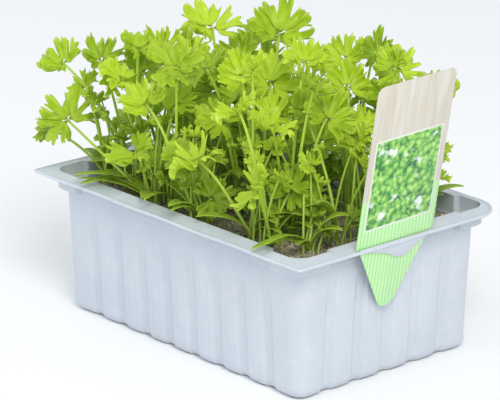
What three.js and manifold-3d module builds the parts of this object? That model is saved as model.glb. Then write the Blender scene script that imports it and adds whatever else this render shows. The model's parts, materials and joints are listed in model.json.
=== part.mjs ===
// Potted parsley: a moulded market tray holding six pressed root balls in two rows, young curled
// parsley plants that stand in plain holes in the soil, and a stick-in label in the tray's rim.
// Millimetres, +Z up. The origin is the centre of the tray's flat base.
import * as THREE from "three";
import { mergeVertices } from "three/addons/utils/BufferGeometryUtils.js";
import Module from "manifold-3d";

const wasm = await Module();
wasm.setup();

// ---------------------------------------------------------------- driving dimensions
const FIT = 0.3; // clearance between pieces that touch

// Tray: the wall's outer half sizes are taken at the rim.
const RIM_Z = 77;
const WALL_HALF_X = 93.5;
const WALL_HALF_Y = 62;
const WALL_TAPER = 0.037; // inward lean for each mm down
const WALL_RADIUS = 11;
const SHEET = 1; // thickness of the moulded sheet
const BASE_SHEET = 1.2;
const BASE_FILLET = 5.5;
const FOOT_STEP = 0.8; // extra inset where the wall meets the fillet
const FOOT_RADIUS = 5;
const FLANGE_HALF_X = 103.9;
const FLANGE_HALF_Y = 71;
const FLANGE_DROOP = 2; // how far the flange's edge lies below the rim
const SHARP_CORNER = 1.5;
const ROUND_CORNER = 20;
const CORNER_STEPS = 4;

// Corner lugs: the top of each corner bulges out, so that stacked trays don't jam.
const LUG_BULGE = 2.8;
const LUG_LENGTH = 22;
const LUG_Z = 69;
const LUG_RADIUS = 9.3;
const LUG_STEP = 1.5;

// Flutes: broad flat bands with a narrow groove between them, which fades out at the lugs.
const FLUTE_PITCH = 19.3;
const GROOVE_WIDTH = 7.6;
const GROOVE_DEPTH = 1.9;

// Label slot: a crescent of the right flange is bent down in front of the label.
const SLOT_X = 102.9;
const SLOT_CUT = 12; // height of the cutter, more than the flange is deep
const SLIT = { low: -4.5, high: 1.5, clear: 0.4 }; // along the label's face, and beyond its sides
const FLAP_SHEET = 0.8;
const FLAP_TOP = -0.6;
const FLAP_BAND = 1.4; // how far the flap reaches down before its crescent starts
const CRESCENT = [
  [-31, 0], [-24, 1.4], [-14, 4], [-6, 7.6], [-1, 8.8], [3, 7.4], [9, 3.6], [16, 0],
]; // along Y, and how deep the crescent is there

// Stick-in label
const LABEL_SHEET = 0.8;
const LABEL_LEAN = THREE.MathUtils.degToRad(11.5);
const LABEL_ROLL = THREE.MathUtils.degToRad(1.6);
const LABEL_AT = [102.2, -7.2, RIM_Z];
const LABEL_HALF_WIDTH = 25.6;
const LABEL_TOP = 87.4;
const LABEL_TOP_RADIUS = 4;
const LABEL_SHOULDER = -0.3; // where the straight sides end, on the rim
const LABEL_STEP = 24.2; // half width just below the shoulders, in the slit
const LABEL_NECK = [20.5, -6.5];
const LABEL_FLANK = [7.8, -31.5];
const LABEL_TIP = -38;
const LABEL_TIP_RADIUS = 3.2;

// Root balls: three along the tray and two across, pressed square and tapered.
const BALL_PITCH = 61.4;
const BALL_HALF_TOP = 29.4;
const BALL_HALF_FOOT = 24.5; // where the tray's fillet starts
const BALL_HALF_BASE = 20.8;
const BALL_RADIUS = 9.5;
const BALL_EDGE = 2.6; // crumbled edge round the top
const SOIL_Z = 67;
const CLOD = 0.7; // unevenness of the top
const CLOD_RINGS = [0.68, 0.34]; // where it is drawn, as shares of the top's half width
const BALL_STATIONS = 12;
const HOLE_RADIUS = 2;
const HOLE_SIDES = 4;
const HOLE_DEPTH = 7;
const HOLE_ABOVE = 4; // how far the hole's cutter stands above the soil

// Plants
const PETIOLE_FOOT = 0.85; // half width of the four-sided petiole at the soil
const PETIOLE_SPRING = 0.5; // and of a further one, which starts inside the first
const PETIOLE_NECK = 0.65; // and below the blade
const PETIOLE_STEPS = { slim: 2, full: 3 };
const BLADE_SHEET = 0.85;
const BLADE_SEAT = 1; // from the petiole's end up to the blade's upper face
const SEED_LEAF_STEPS = 4;
const SEED_LEAF_HALF_SHEET = 0.4;
const LEAFLET_FAN = 100; // degrees between the leaflets' middle lines
const CLEAR = 3.6; // smallest distance between sample points of two plants
const TRIES = 90;
const SEED = 20124;

// ---------------------------------------------------------------- solids
const V = (x, y, z) => new THREE.Vector3(x, y, z);

function solidFrom(points, triangles) {
  return new wasm.Manifold(
    new wasm.Mesh({
      numProp: 3,
      vertProperties: new Float32Array(points.flatMap((p) => [p.x, p.y, p.z])),
      triVerts: new Uint32Array(triangles.flat()),
    }),
  );
}

function solidOf(geometry) {
  geometry.deleteAttribute("normal");
  geometry.deleteAttribute("uv");
  const merged = mergeVertices(geometry, 1e-4);
  return new wasm.Manifold(
    new wasm.Mesh({
      numProp: 3,
      vertProperties: merged.attributes.position.array,
      triVerts: new Uint32Array(merged.index.array),
    }),
  );
}

// Joins rings of equal count, listed counterclockwise seen from the far end, between two poles.
function loft(rings, firstPole, lastPole) {
  const count = rings[0].length;
  const points = [...rings.flat(), firstPole, lastPole];
  const triangles = [];
  const last = rings.length - 1;
  for (let i = 0; i < count; i++) {
    const j = (i + 1) % count;
    for (let k = 0; k < last; k++) {
      const low = k * count;
      const high = low + count;
      triangles.push([low + i, low + j, high + j], [low + i, high + j, high + i]);
    }
    triangles.push([j, i, points.length - 2]);
    triangles.push([last * count + i, last * count + j, points.length - 1]);
  }
  return solidFrom(points, triangles);
}

function unite(solids) {
  return solids.reduce((whole, piece) => whole.add(piece));
}

function meshFrom(solid, name, material) {
  const { numProp, vertProperties, triVerts } = solid.getMesh();
  const points = new THREE.InterleavedBuffer(vertProperties, numProp);
  const geometry = new THREE.BufferGeometry();
  geometry.setAttribute("position", new THREE.InterleavedBufferAttribute(points, 3, 0));
  geometry.setIndex(new THREE.BufferAttribute(triVerts, 1));
  const flat = geometry.toNonIndexed();
  flat.computeVertexNormals();
  const mesh = new THREE.Mesh(flat, material);
  mesh.name = name;
  return mesh;
}

// ---------------------------------------------------------------- tray
const SIDES = [
  { out: [1, 0], along: [0, 1], grooves: 5, half: WALL_HALF_Y },
  { out: [0, 1], along: [-1, 0], grooves: 8, half: WALL_HALF_X },
  { out: [-1, 0], along: [0, -1], grooves: 5, half: WALL_HALF_Y },
  { out: [0, -1], along: [1, 0], grooves: 8, half: WALL_HALF_X },
];

// One side's stations: lug ends, and outside three for each groove (edge, bottom, edge).
function sideStations(side, index, grooves) {
  const lugEnd = side.half + LUG_BULGE - LUG_LENGTH;
  const stations = [
    { u: -lugEnd - LUG_STEP, lug: 1 }, { u: -lugEnd, lug: 0 },
    { u: lugEnd, lug: 0 }, { u: lugEnd + LUG_STEP, lug: 1 },
  ];
  for (let k = 0; k < grooves; k++) {
    const middle = (k - (grooves - 1) / 2) * FLUTE_PITCH;
    stations.push({ u: middle - GROOVE_WIDTH / 2 }, { u: middle, groove: 1 });
    stations.push({ u: middle + GROOVE_WIDTH / 2 });
  }
  stations.sort((a, b) => a.u - b.u);
  return stations.map((s) => ({ groove: 0, lug: 0, ...s, index }));
}

function trayStations(isFluted) {
  return SIDES.flatMap((side, index) => {
    const corner = [];
    for (let k = 0; k <= CORNER_STEPS; k++) {
      corner.push({ index, angle: (k / CORNER_STEPS) * (Math.PI / 2), groove: 0, lug: 1 });
    }
    return [...sideStations(side, index, isFluted ? side.grooves : 0), ...corner];
  });
}

// One ring of the tray. spec: half sizes, inset, corner radius (a function of the corner), z,
// how much of the groove and of the lug it shows.
function trayRing(stations, spec) {
  const { halfX, halfY, z } = spec;
  return stations.map((s) => {
    const { out, along } = SIDES[s.index];
    const halfOut = out[0] ? halfX : halfY;
    const halfAlong = out[0] ? halfY : halfX;
    const shift = s.lug * (spec.lug ?? 0) - s.groove * (spec.groove ?? 0);
    let a = halfOut + shift;
    let b = s.u;
    if (s.angle !== undefined) {
      const radius = spec.radius(s.index);
      a = halfOut + shift - radius * (1 - Math.cos(s.angle));
      b = halfAlong + shift - radius * (1 - Math.sin(s.angle));
    }
    return V(out[0] * a + along[0] * b, out[1] * a + along[1] * b, z);
  });
}

function wallSpec(z, inset, extra = {}) {
  const d = inset + (RIM_Z - z) * WALL_TAPER;
  return { halfX: WALL_HALF_X - d, halfY: WALL_HALF_Y - d, z, radius: () => WALL_RADIUS - d, ...extra };
}

function lugSpec(z, inset) {
  const lug = { lug: LUG_BULGE, radius: () => LUG_RADIUS - inset };
  return { halfX: WALL_HALF_X - inset, halfY: WALL_HALF_Y - inset, z, ...lug };
}

function flangeSpec(z) {
  const radius = (index) => (index < 2 ? ROUND_CORNER : SHARP_CORNER);
  return { halfX: FLANGE_HALF_X, halfY: FLANGE_HALF_Y, z, radius };
}

function trayOutside() {
  const foot = BASE_FILLET + FOOT_STEP;
  const specs = [
    wallSpec(0, foot, { groove: 0.6 * GROOVE_DEPTH, radius: () => FOOT_RADIUS }),
    wallSpec(0.3 * BASE_FILLET, FOOT_STEP + 0.3 * BASE_FILLET, { groove: 0.9 * GROOVE_DEPTH }),
    wallSpec(BASE_FILLET, FOOT_STEP, { groove: GROOVE_DEPTH }),
    wallSpec(LUG_Z - LUG_STEP / 2, 0),
    lugSpec(LUG_Z + LUG_STEP / 2, 0),
    lugSpec(RIM_Z - SHEET, 0),
    flangeSpec(RIM_Z - FLANGE_DROOP - SHEET),
    flangeSpec(RIM_Z - FLANGE_DROOP),
    lugSpec(RIM_Z, SHEET / 2),
  ];
  const stations = trayStations(true);
  return loft(specs.map((spec) => trayRing(stations, spec)), V(0, 0, 0), V(0, 0, RIM_Z));
}

// The room inside the sheet, which is smooth: the flutes show outside only.
function trayInside() {
  const specs = [
    wallSpec(BASE_SHEET, BASE_FILLET + FOOT_STEP + SHEET, { radius: () => FOOT_RADIUS }),
    wallSpec(BASE_FILLET, FOOT_STEP + SHEET + GROOVE_DEPTH),
    wallSpec(LUG_Z, SHEET),
    lugSpec(LUG_Z + LUG_STEP, SHEET),
    lugSpec(RIM_Z + 1, SHEET),
  ];
  const stations = trayStations(false);
  const rings = specs.map((spec) => trayRing(stations, spec));
  return loft(rings, V(0, 0, BASE_SHEET), V(0, 0, RIM_Z + 1));
}

// A plate cut to an outline in its own (u, v) plane, centred on its thickness, then placed.
function plate(outline, thickness, matrix) {
  const shape = new THREE.Shape(outline.map(([u, v]) => new THREE.Vector2(u, v)));
  const geometry = new THREE.ExtrudeGeometry(shape, { depth: thickness, bevelEnabled: false });
  geometry.translate(0, 0, -thickness / 2);
  return solidOf(geometry.applyMatrix4(matrix));
}

// The label's plane: u runs along +Y, v up the leaning face, and the plate's normal faces out.
function labelFrame(shiftOut, roll) {
  const place = new THREE.Matrix4().makeTranslation(...LABEL_AT);
  const lean = new THREE.Matrix4().makeRotationY(LABEL_LEAN);
  const axes = new THREE.Matrix4().makeBasis(V(0, 1, 0), V(0, 0, 1), V(1, 0, 0));
  const spin = new THREE.Matrix4().makeRotationZ(roll);
  const out = new THREE.Matrix4().makeTranslation(0, 0, shiftOut);
  return place.multiply(lean).multiply(axes).multiply(spin).multiply(out);
}

function arc(u, v, radius, from, to, steps) {
  return Array.from({ length: steps + 1 }, (_, k) => {
    const angle = THREE.MathUtils.degToRad(from + ((to - from) * k) / steps);
    return [u + radius * Math.cos(angle), v + radius * Math.sin(angle)];
  });
}

function labelOutline() {
  const side = LABEL_HALF_WIDTH;
  const r = LABEL_TOP_RADIUS;
  const [neck, neckV] = LABEL_NECK;
  const [flank, flankV] = LABEL_FLANK;
  return [
    ...arc(0, LABEL_TIP + LABEL_TIP_RADIUS, LABEL_TIP_RADIUS, -150, -30, 4),
    [flank, flankV], [neck, neckV], [LABEL_STEP, LABEL_SHOULDER], [side, LABEL_SHOULDER],
    ...arc(side - r, LABEL_TOP - r, r, 0, 90, 3),
    ...arc(r - side, LABEL_TOP - r, r, 90, 180, 3),
    [-side, LABEL_SHOULDER], [-LABEL_STEP, LABEL_SHOULDER], [-neck, neckV], [-flank, flankV],
  ];
}

// The slit that the label passes through, wide enough to clear it on both faces.
function labelSlit() {
  const reach = LABEL_STEP + SLIT.clear;
  const outline = [[-reach, SLIT.low], [reach, SLIT.low], [reach, SLIT.high], [-reach, SLIT.high]];
  return plate(outline, LABEL_SHEET + 2 * FIT, labelFrame(0, LABEL_ROLL));
}

function crescentHole() {
  const outline = CRESCENT.map(([y, depth]) => [SLOT_X - depth, y]);
  return plate(outline, SLOT_CUT, new THREE.Matrix4().makeTranslation(0, 0, RIM_Z));
}

// The bent-down crescent hangs from the flange's edge, just outside the label's face.
function crescentFlap() {
  const shift = (LABEL_SHEET + FLAP_SHEET) / 2 + FIT;
  const edge = CRESCENT.map(([y, depth]) => [y - LABEL_AT[1], FLAP_TOP - FLAP_BAND - depth]);
  const [first, last] = [edge[0], edge[edge.length - 1]];
  const outline = [[first[0], FLAP_TOP], ...edge.slice(1, -1), [last[0], FLAP_TOP]];
  return plate(outline, FLAP_SHEET, labelFrame(shift, 0));
}

function traySolid() {
  const sheet = trayOutside().subtract(trayInside());
  return sheet.subtract(crescentHole()).subtract(labelSlit()).add(crescentFlap());
}

// ---------------------------------------------------------------- seeded draws
// Park and Miller's generator: whole numbers only, so every machine draws alike.
function dice(seed) {
  let state = seed;
  return () => {
    state = (state * 16807) % 2147483647;
    return state / 2147483647;
  };
}

// ---------------------------------------------------------------- root balls
const BALLS = [-1, 0, 1].flatMap((i) => [-0.5, 0.5].map((j) => [i * BALL_PITCH, j * BALL_PITCH]));

function squareRing(half, radius, z) {
  return Array.from({ length: BALL_STATIONS }, (_, k) => {
    const quarter = Math.floor((k / BALL_STATIONS) * 4);
    const step = k - (quarter * BALL_STATIONS) / 4;
    const angle = ((quarter + step / (BALL_STATIONS / 4 - 1)) * Math.PI) / 2;
    const signX = quarter === 0 || quarter === 3 ? 1 : -1;
    const signY = quarter < 2 ? 1 : -1;
    const inner = half - radius;
    const x = signX * inner + radius * Math.cos(angle);
    return V(x, signY * inner + radius * Math.sin(angle), z);
  });
}

function rootBall([x, y], draw, crowns) {
  const rough = (ring, amount) => ring.map((p) => V(p.x, p.y, p.z + amount * (draw() - 0.5)));
  const [outer, inner] = CLOD_RINGS.map((share) => share * BALL_HALF_TOP);
  const rings = [
    squareRing(BALL_HALF_BASE, BALL_RADIUS, BASE_SHEET + FIT),
    squareRing(BALL_HALF_FOOT, BALL_RADIUS, BASE_FILLET + FIT),
    squareRing(BALL_HALF_TOP, BALL_RADIUS, SOIL_Z - BALL_EDGE),
    rough(squareRing(BALL_HALF_TOP - BALL_EDGE / 2, BALL_RADIUS, SOIL_Z - BALL_EDGE / 3), CLOD),
    rough(squareRing(outer, BALL_RADIUS, SOIL_Z), 2 * CLOD),
    rough(squareRing(inner, BALL_RADIUS / 2, SOIL_Z), 2 * CLOD),
  ];
  const ball = loft(rings, V(0, 0, BASE_SHEET + FIT), V(0, 0, SOIL_Z)).translate([x, y, 0]);
  return crowns.reduce((left, crown) => left.subtract(hole(crown)), ball);
}

function hole([x, y]) {
  const height = HOLE_DEPTH + HOLE_ABOVE;
  const geometry = new THREE.CylinderGeometry(HOLE_RADIUS, HOLE_RADIUS, height, HOLE_SIDES);
  geometry.rotateX(Math.PI / 2).translate(x, y, SOIL_Z - HOLE_DEPTH + height / 2);
  return solidOf(geometry);
}

// ---------------------------------------------------------------- plants: where they stand
// Leaves of the plants that show best. crown: its place on the soil. Each leaf has its petiole's
// tip, its blade's width, and the compass angle and tilt that its face leans to, in degrees.
// via: the petiole's two inner control points, where it isn't a plain arch.
const SHOWN = [
  { crown: [-36, -46], leaves: [
    { tip: [-87, -60, 104], width: 36, face: [-60, 40], via: [[-51, -50, 80], [-70, -55, 92]] }] },
  { crown: [-44, -36], leaves: [{ tip: [-50, -25, 113], width: 26, face: [-60, 40] }] },
  { crown: [-80, -40], leaves: [{ tip: [-103, -58, 95], width: 24, face: [-110, 35] }] },
  { crown: [-74, -28], leaves: [
    { tip: [-109, -45, 127], width: 30, face: [-80, 35] },
    { tip: [-88, -37, 131], width: 28, face: [-20, 45] },
    { tip: [-100, -38, 115], width: 22, face: [-110, 40] }] },
  { crown: [-66, -14], leaves: [
    { tip: [-84, -20, 117], width: 20, face: [-40, 40] },
    { tip: [-73, -25, 104], width: 20, face: [-50, 45] }] },
  { crown: [-57, -40], leaves: [{ tip: [-67, -26, 127], width: 32, face: [-50, 45] }] },
  { crown: [-46, -12], leaves: [{ tip: [-40, -17, 137], width: 31, face: [-70, 40] }] },
  { crown: [-52, 16], leaves: [{ tip: [-55, 11, 147], width: 34, face: [-30, 28] }] },
  { crown: [-72, 16], leaves: [{ tip: [-80, -3, 133], width: 26, face: [-60, 40] }] },
  { crown: [-22, 22], leaves: [{ tip: [-24, 30, 147], width: 38, face: [-40, 40] }] },
  { crown: [-26, -10], leaves: [{ tip: [-20, 0, 141], width: 28, face: [-60, 45] }] },
  { crown: [-14, -30], leaves: [{ tip: [-6, -13, 124], width: 28, face: [-50, 45] }] },
  { crown: [-22, -42], leaves: [
    { tip: [-25, -18, 109], width: 26, face: [-80, 35] },
    { tip: [-12, -36, 90], width: 20, face: [-40, 35] }] },
  { crown: [12, -14], leaves: [{ tip: [14, -10, 136], width: 31, face: [-20, 45] }] },
  { crown: [24, 6], leaves: [{ tip: [38, 2, 109], width: 30, face: [-40, 50] }] },
  { crown: [4, 20], leaves: [
    { tip: [20, 10, 128], width: 28, face: [-60, 40] },
    { tip: [-2, 8, 109], width: 24, face: [-30, 40] }] },
  { crown: [38, -20], leaves: [{ tip: [28, -24, 93], width: 20, face: [-50, 50] }] },
  { crown: [52, -42], leaves: [{ tip: [56, -34, 95], width: 24, face: [-45, 65] }] },
  { crown: [38, -42], leaves: [
    { tip: [14, -49, 84], width: 28, face: [-40, 60], via: [[26, -40, 82], [-14, -44, 66]] }] },
  { crown: [70, -34], leaves: [{ tip: [63, -24, 86], width: 17, face: [-45, 45] }] },
  { crown: [42, 20], leaves: [
    { tip: [44, 15, 136], width: 32, face: [-30, 45] },
    { tip: [30, 18, 121], width: 26, face: [-70, 40] }] },
  { crown: [20, 40], leaves: [{ tip: [24, 32, 143], width: 28, face: [-60, 45] }] },
  { crown: [44, 42], leaves: [{ tip: [27, 52, 142], width: 29, face: [-20, 45] }] },
  { crown: [66, 40], leaves: [
    { tip: [44, 50, 138], width: 31, face: [-10, 45] },
    { tip: [70, 48, 132], width: 27, face: [-50, 40] }] },
  { crown: [62, 12], leaves: [{ tip: [52, 18, 118], width: 24, face: [-40, 40] }] },
];

// Seed leaves of those plants: the plant's number above, the leaf's far end and half width.
const SHOWN_SEED_LEAVES = [
  [0, [-20, -66, 80], 2.6], [1, [-36, -22, 96], 2.4], [2, [-94, -30, 88], 3], [4, [-80, -4, 96], 3.2],
  [5, [-66, -56, 80], 2.8], [12, [-6, -56, 76], 2.6], [13, [2, -30, 74], 2.2],
  [18, [22, -66, 81], 3], [17, [64, -52, 76], 3], [19, [86, -22, 88], 3.4], [19, [76, -48, 76], 2.6],
  [16, [40, -4, 86], 2.8], [9, [-8, 22, 92], 2.6],
];

// How many plants each root ball carries in all, in the order of BALLS.
const BALL_PLANTS = [8, 7, 6, 8, 6, 7];
const LEAF_NUMBERS = 3; // leaf numbers set aside for each plant, and its most leaves
const ROUNDS = 2; // of further leaves
const MOST_LEAVES = 90;
const CROWN_SPREAD = 19;
const CROWN_APART = 7.5;
const CANOPY = { left: -104, right: 66, y: 66, low: 94, high: 150, slopeX: 0.14, slopeY: -0.12 };
const CANOPY_DOME = 0.3; // how much lower a tip is for each mm that it stands out from its crown
const FURTHER = { out: [6, 32], width: [23, 32], compass: [-145, 55], tilt: [20, 54] };

const SPRING = 1; // height above the soil where leaves part from the stem
const FIRST_RISE = [0.12, 0.42]; // a petiole's inner points, as shares of its plan and its rise
const FURTHER_RISE = [0.3, 0.3];
const ARCH_TOP = [0.6, 0.8];
const RAD = Math.PI / 180;

// The petiole's middle line: straight up from the crown, then arching out to its tip. A further
// leaf's parts from the first one sooner.
function arch([x, y], tip, via, rooted) {
  const foot = V(x, y, SOIL_Z + SPRING);
  const between = ([share, rise]) =>
    V(x + share * (tip[0] - x), y + share * (tip[1] - y), foot.z + rise * (tip[2] - foot.z));
  const plain = [rooted ? FIRST_RISE : FURTHER_RISE, ARCH_TOP].map(between);
  const [low, high] = via ? via.map((p) => V(...p)) : plain;
  return new THREE.CubicBezierCurve3(foot, low, high, V(...tip));
}

// The blade's frame: origin over the petiole's tip, y along the middle leaflet, z out of the face.
function bladeFrame(path, [compass, tilt]) {
  const lean = Math.sin(tilt * RAD);
  const face = V(lean * Math.cos(compass * RAD), lean * Math.sin(compass * RAD), Math.cos(tilt * RAD));
  const arrive = path.getTangent(1);
  const middle = arrive.addScaledVector(face, -arrive.dot(face)).normalize();
  const right = new THREE.Vector3().crossVectors(middle, face);
  const seat = path.v3.clone().addScaledVector(face, BLADE_SEAT);
  return new THREE.Matrix4().makeBasis(right, middle, face).setPosition(seat);
}

// ---------------------------------------------------------------- plants: their leaves
// A leaflet, from the cleft on its right to its last tooth: degrees from its middle line, how far
// out, and how high the ruffle lifts it, both as shares of the blade's half width.
const LEAFLET = [
  [-52, 0.26, 0.02], [-46, 0.8, 0.16], [-23, 0.93, 0.02], [-17, 0.64, 0.12], [-13, 1, 0.02],
  [12, 0.97, 0.2], [16, 0.62, 0.04], [22, 0.94, 0.18], [46, 0.78, 0],
];
const RIBS = [[-30, 0.46, 0], [1, 0.5, 0.08], [31, 0.44, 0]];
const CUP = 0.3; // how far the leaflets' ends curl up
const SLIM_RIB = 0.7;
const SLIM_WIDTH = 26; // shown leaves up to this width are slim too

function bladePoints(number, width) {
  const draw = dice(4001 + 7919 * number);
  const half = width / 2;
  const spot = (turn, size, lift, [angle, reach, ruffle]) => {
    const a = (turn + angle) * RAD;
    const r = reach * (reach < 0.3 ? 1 : size);
    const z = lift * r * r + ruffle * (0.7 + 0.6 * draw());
    return V(-half * r * Math.sin(a), half * r * Math.cos(a), half * z);
  };
  const leaflets = [-1, 0, 1].map((k) => {
    const turn = k * LEAFLET_FAN + 12 * (draw() - 0.5);
    const size = (k ? 0.92 : 1) * (0.86 + 0.24 * draw());
    const lift = CUP * (0.4 + 1.2 * draw());
    const outline = LEAFLET.map((p) => spot(turn, size, lift, p));
    return { outline, ribs: RIBS.map((p) => spot(turn, size, lift, p)) };
  });
  const cleft = spot(LEAFLET_FAN, 1, 0, [50, LEAFLET[0][1], 0]);
  return { leaflets, cleft };
}

// Fills the band between two loops round the blade's middle, facing down: it walks round both by
// angle, and each step is one triangle.
function band(inner, outer, points) {
  const turn = (i) => Math.atan2(points[i].y, points[i].x);
  const sorted = (loop) => [...loop].sort((a, b) => turn(a) - turn(b));
  const [ring, rest] = [sorted(inner), sorted(outer)];
  const pick = (loop, k) => loop[k % loop.length];
  const reach = (loop, k) => turn(pick(loop, k)) + 2 * Math.PI * Math.floor(k / loop.length);
  const triangles = [];
  let [i, j] = [0, 0];
  while (i < ring.length || j < rest.length) {
    const turnsInner = j === rest.length || (i < ring.length && reach(ring, i + 1) < reach(rest, j + 1));
    const [near, far] = [pick(ring, i), pick(rest, j)];
    if (turnsInner) i += 1;
    else j += 1;
    triangles.push(turnsInner ? [near, pick(ring, i), far] : [pick(rest, j), far, near]);
  }
  return triangles;
}

// The plainer leaflet of a leaf that stands among others: one point for each lobe's end, one rib.
function slim({ outline, ribs }) {
  const lobe = (i) => outline[i].clone().lerp(outline[i + 1], 0.5);
  return {
    outline: [outline[0], lobe(1), outline[3], lobe(4), outline[6], lobe(7)],
    ribs: [ribs[1].clone().multiplyScalar(SLIM_RIB)],
  };
}

// The blade's faces round its middle, by number in the upper face's points, and the loop of points
// that they leave open there. Each rib point is the middle of a fan of outline points.
function bladeFaces(leaflets, outlineCount) {
  const faces = [];
  const loop = [];
  let [o, m] = [0, outlineCount];
  leaflets.forEach(({ outline, ribs }) => {
    const fan = outline.length / ribs.length;
    for (let r = 1; r < ribs.length; r++) faces.push([m + r - 1, o + fan * r, m + r]);
    for (let i = 0; i < outline.length; i++) faces.push([o + i, o + i + 1, m + Math.floor(i / fan)]);
    loop.push(o, ...ribs.map((_, r) => m + r));
    o += outline.length;
    m += ribs.length;
  });
  return { faces, loop: [...loop, outlineCount - 1] };
}

// A leaf in one closed mesh: the petiole's sweep opens into the blade's underside. Both faces of
// the blade have the same triangles, apart from the neck, and a rim runs between them.
function leafSolid(leaf) {
  const { leaflets: full, cleft } = bladePoints(leaf.number, leaf.width);
  const leaflets = leaf.isSlim ? full.map(slim) : full;
  const outline = [...leaflets.flatMap((l) => l.outline), cleft];
  const upper = [...outline, ...leaflets.flatMap((l) => l.ribs)];
  const lower = upper.map((p) => V(p.x, p.y, p.z - BLADE_SHEET));
  const below = upper.length;
  const { faces, loop } = bladeFaces(leaflets, outline.length);
  const under = faces.map(([a, b, c]) => [below + a, below + c, below + b]);
  const rim = outline.flatMap((_, i) => {
    const j = (i + 1) % outline.length;
    return [[i, below + i, below + j], [i, below + j, j]];
  });

  const toBlade = leaf.frame.clone().invert();
  const rings = petioleRings(leaf).map((ring) => ring.map((p) => p.applyMatrix4(toBlade)));
  const footMiddle = rings[0][0].clone().lerp(rings[0][2], 0.5);
  const points = [...upper, ...lower, ...rings.flat(), V(0, 0, 0), footMiddle];
  const [middle, foot] = [points.length - 2, points.length - 1];
  const first = 2 * below;
  const last = first + 4 * (rings.length - 1);
  const top = loop.map((a, i) => [a, loop[(i + 1) % loop.length], middle]);
  const tube = tubeFaces(first, rings.length, 4);
  const cap = [0, 1, 2, 3].map((i) => [first + ((i + 1) % 4), first + i, foot]);
  const neck = band([last, last + 1, last + 2, last + 3], loop.map((i) => below + i), points);
  const placed = points.map((p) => p.applyMatrix4(leaf.frame));
  return solidFrom(placed, [...faces, ...top, ...rim, ...under, ...neck, ...tube, ...cap]);
}

function tubeFaces(first, ringCount, sides) {
  const triangles = [];
  for (let k = 0; k < ringCount - 1; k++) {
    for (let i = 0; i < sides; i++) {
      const j = (i + 1) % sides;
      const [low, high] = [first + k * sides, first + (k + 1) * sides];
      triangles.push([low + i, low + j, high + j], [low + i, high + j, high + i]);
    }
  }
  return triangles;
}

// A four-sided ring across a direction, with its first pair of sides level.
function ring4(at, ahead, level, wide, thick) {
  const side = level.clone().addScaledVector(ahead, -ahead.dot(level)).normalize();
  const up = V().crossVectors(ahead, side);
  const corner = (a, b) => at.clone().addScaledVector(side, a * wide).addScaledVector(up, b * thick);
  return [corner(1, 1), corner(-1, 1), corner(-1, -1), corner(1, -1)];
}

function levelAcross(path) {
  const span = V().subVectors(path.v3, path.v0);
  return V(-span.y, span.x, 0).normalize();
}

// The petiole from its foot, in the soil on a plant's first leaf, to the blade's underside.
function petioleRings({ path, frame, rooted, isSlim }) {
  const level = levelAcross(path);
  const face = V().setFromMatrixColumn(frame, 2);
  const steps = isSlim ? PETIOLE_STEPS.slim : PETIOLE_STEPS.full;
  const spring = rooted ? PETIOLE_FOOT : PETIOLE_SPRING;
  const rings = [];
  if (rooted) {
    const foot = path.v0.clone().setZ(SOIL_Z - HOLE_DEPTH + FIT);
    rings.push(ring4(foot, V(0, 0, 1), level, PETIOLE_FOOT, PETIOLE_FOOT));
  }
  for (let k = 0; k <= steps; k++) {
    const share = k / steps;
    const ahead = path.getTangent(share);
    if (k === steps) ahead.add(face).normalize();
    const half = spring + (PETIOLE_NECK - spring) * share;
    rings.push(ring4(path.getPoint(share), ahead, level, half, half));
  }
  return rings;
}

// A seed leaf: a narrow stalk that widens into a lance-shaped blade.
function seedLeafSolid({ path, half }) {
  const level = levelAcross(path);
  const rings = Array.from({ length: SEED_LEAF_STEPS + 1 }, (_, k) => {
    const share = k / SEED_LEAF_STEPS;
    const wide = PETIOLE_NECK + (half - PETIOLE_NECK) * Math.sin(Math.PI * share ** 1.4);
    return ring4(path.getPoint(share), path.getTangent(share), level, wide, SEED_LEAF_HALF_SHEET);
  });
  return loft(rings, path.getPoint(0), path.getPoint(1));
}

// One body for each plant: a loose sliver that joining leaves behind is dropped.
function plantSolid(plant) {
  const whole = unite([...plant.leaves.map(leafSolid), ...plant.seedLeaves.map(seedLeafSolid)]);
  return whole.decompose().reduce((best, body) => (body.volume() > best.volume() ? body : best));
}

// ---------------------------------------------------------------- plants: room for each
function leafOf(crown, number, rooted, { tip, width, face, via }) {
  const path = arch(crown, tip, via, rooted);
  return { number, width, rooted, isSlim: width <= SLIM_WIDTH, path, frame: bladeFrame(path, face) };
}

// A seed leaf rises steeply, runs out level and dips at its end.
function seedLeafOf([x, y], end, half) {
  const at = (share, z) => [x + share * (end[0] - x), y + share * (end[1] - y), z];
  const foot = SOIL_Z + SPRING;
  const low = at(0.1, foot + 0.5 * (end[2] - foot) + 3);
  const high = at(0.6, end[2] + 2);
  return { path: arch([x, y], end, [low, high], false), half };
}

// Sample points of a leaf, close enough together that two leaves can't cross between them.
function bladeSamples(leaf) {
  const { leaflets } = bladePoints(leaf.number, leaf.width);
  const edge = leaflets.flatMap((l) => [...l.outline, ...l.ribs]);
  const blade = edge.flatMap((p) => [1, 0.75, 0.5].map((s) => p.clone().multiplyScalar(s)));
  return blade.map((p) => p.applyMatrix4(leaf.frame));
}

function leafSamples(leaf) {
  return [...bladeSamples(leaf), ...pathSamples(leaf.path)];
}

function pathSamples(path) {
  const steps = Math.ceil(path.v0.distanceTo(path.v3) / 3);
  return Array.from({ length: steps }, (_, k) => path.getPoint((k + 1) / steps));
}

function isClear(samples, taken) {
  return samples.every((p) => taken.every((q) => p.distanceToSquared(q) > CLEAR * CLEAR));
}

function freeCrown([ballX, ballY], crowns, draw) {
  for (let n = 0; n < TRIES; n++) {
    const angle = 360 * draw() * RAD;
    const out = CROWN_SPREAD * Math.sqrt(draw());
    const spot = [ballX + out * Math.cos(angle), ballY + out * Math.sin(angle)];
    if (crowns.every((c) => Math.hypot(c[0] - spot[0], c[1] - spot[1]) > CROWN_APART)) return spot;
  }
  return null;
}

const within = ([low, high], share) => low + (high - low) * share;

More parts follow.
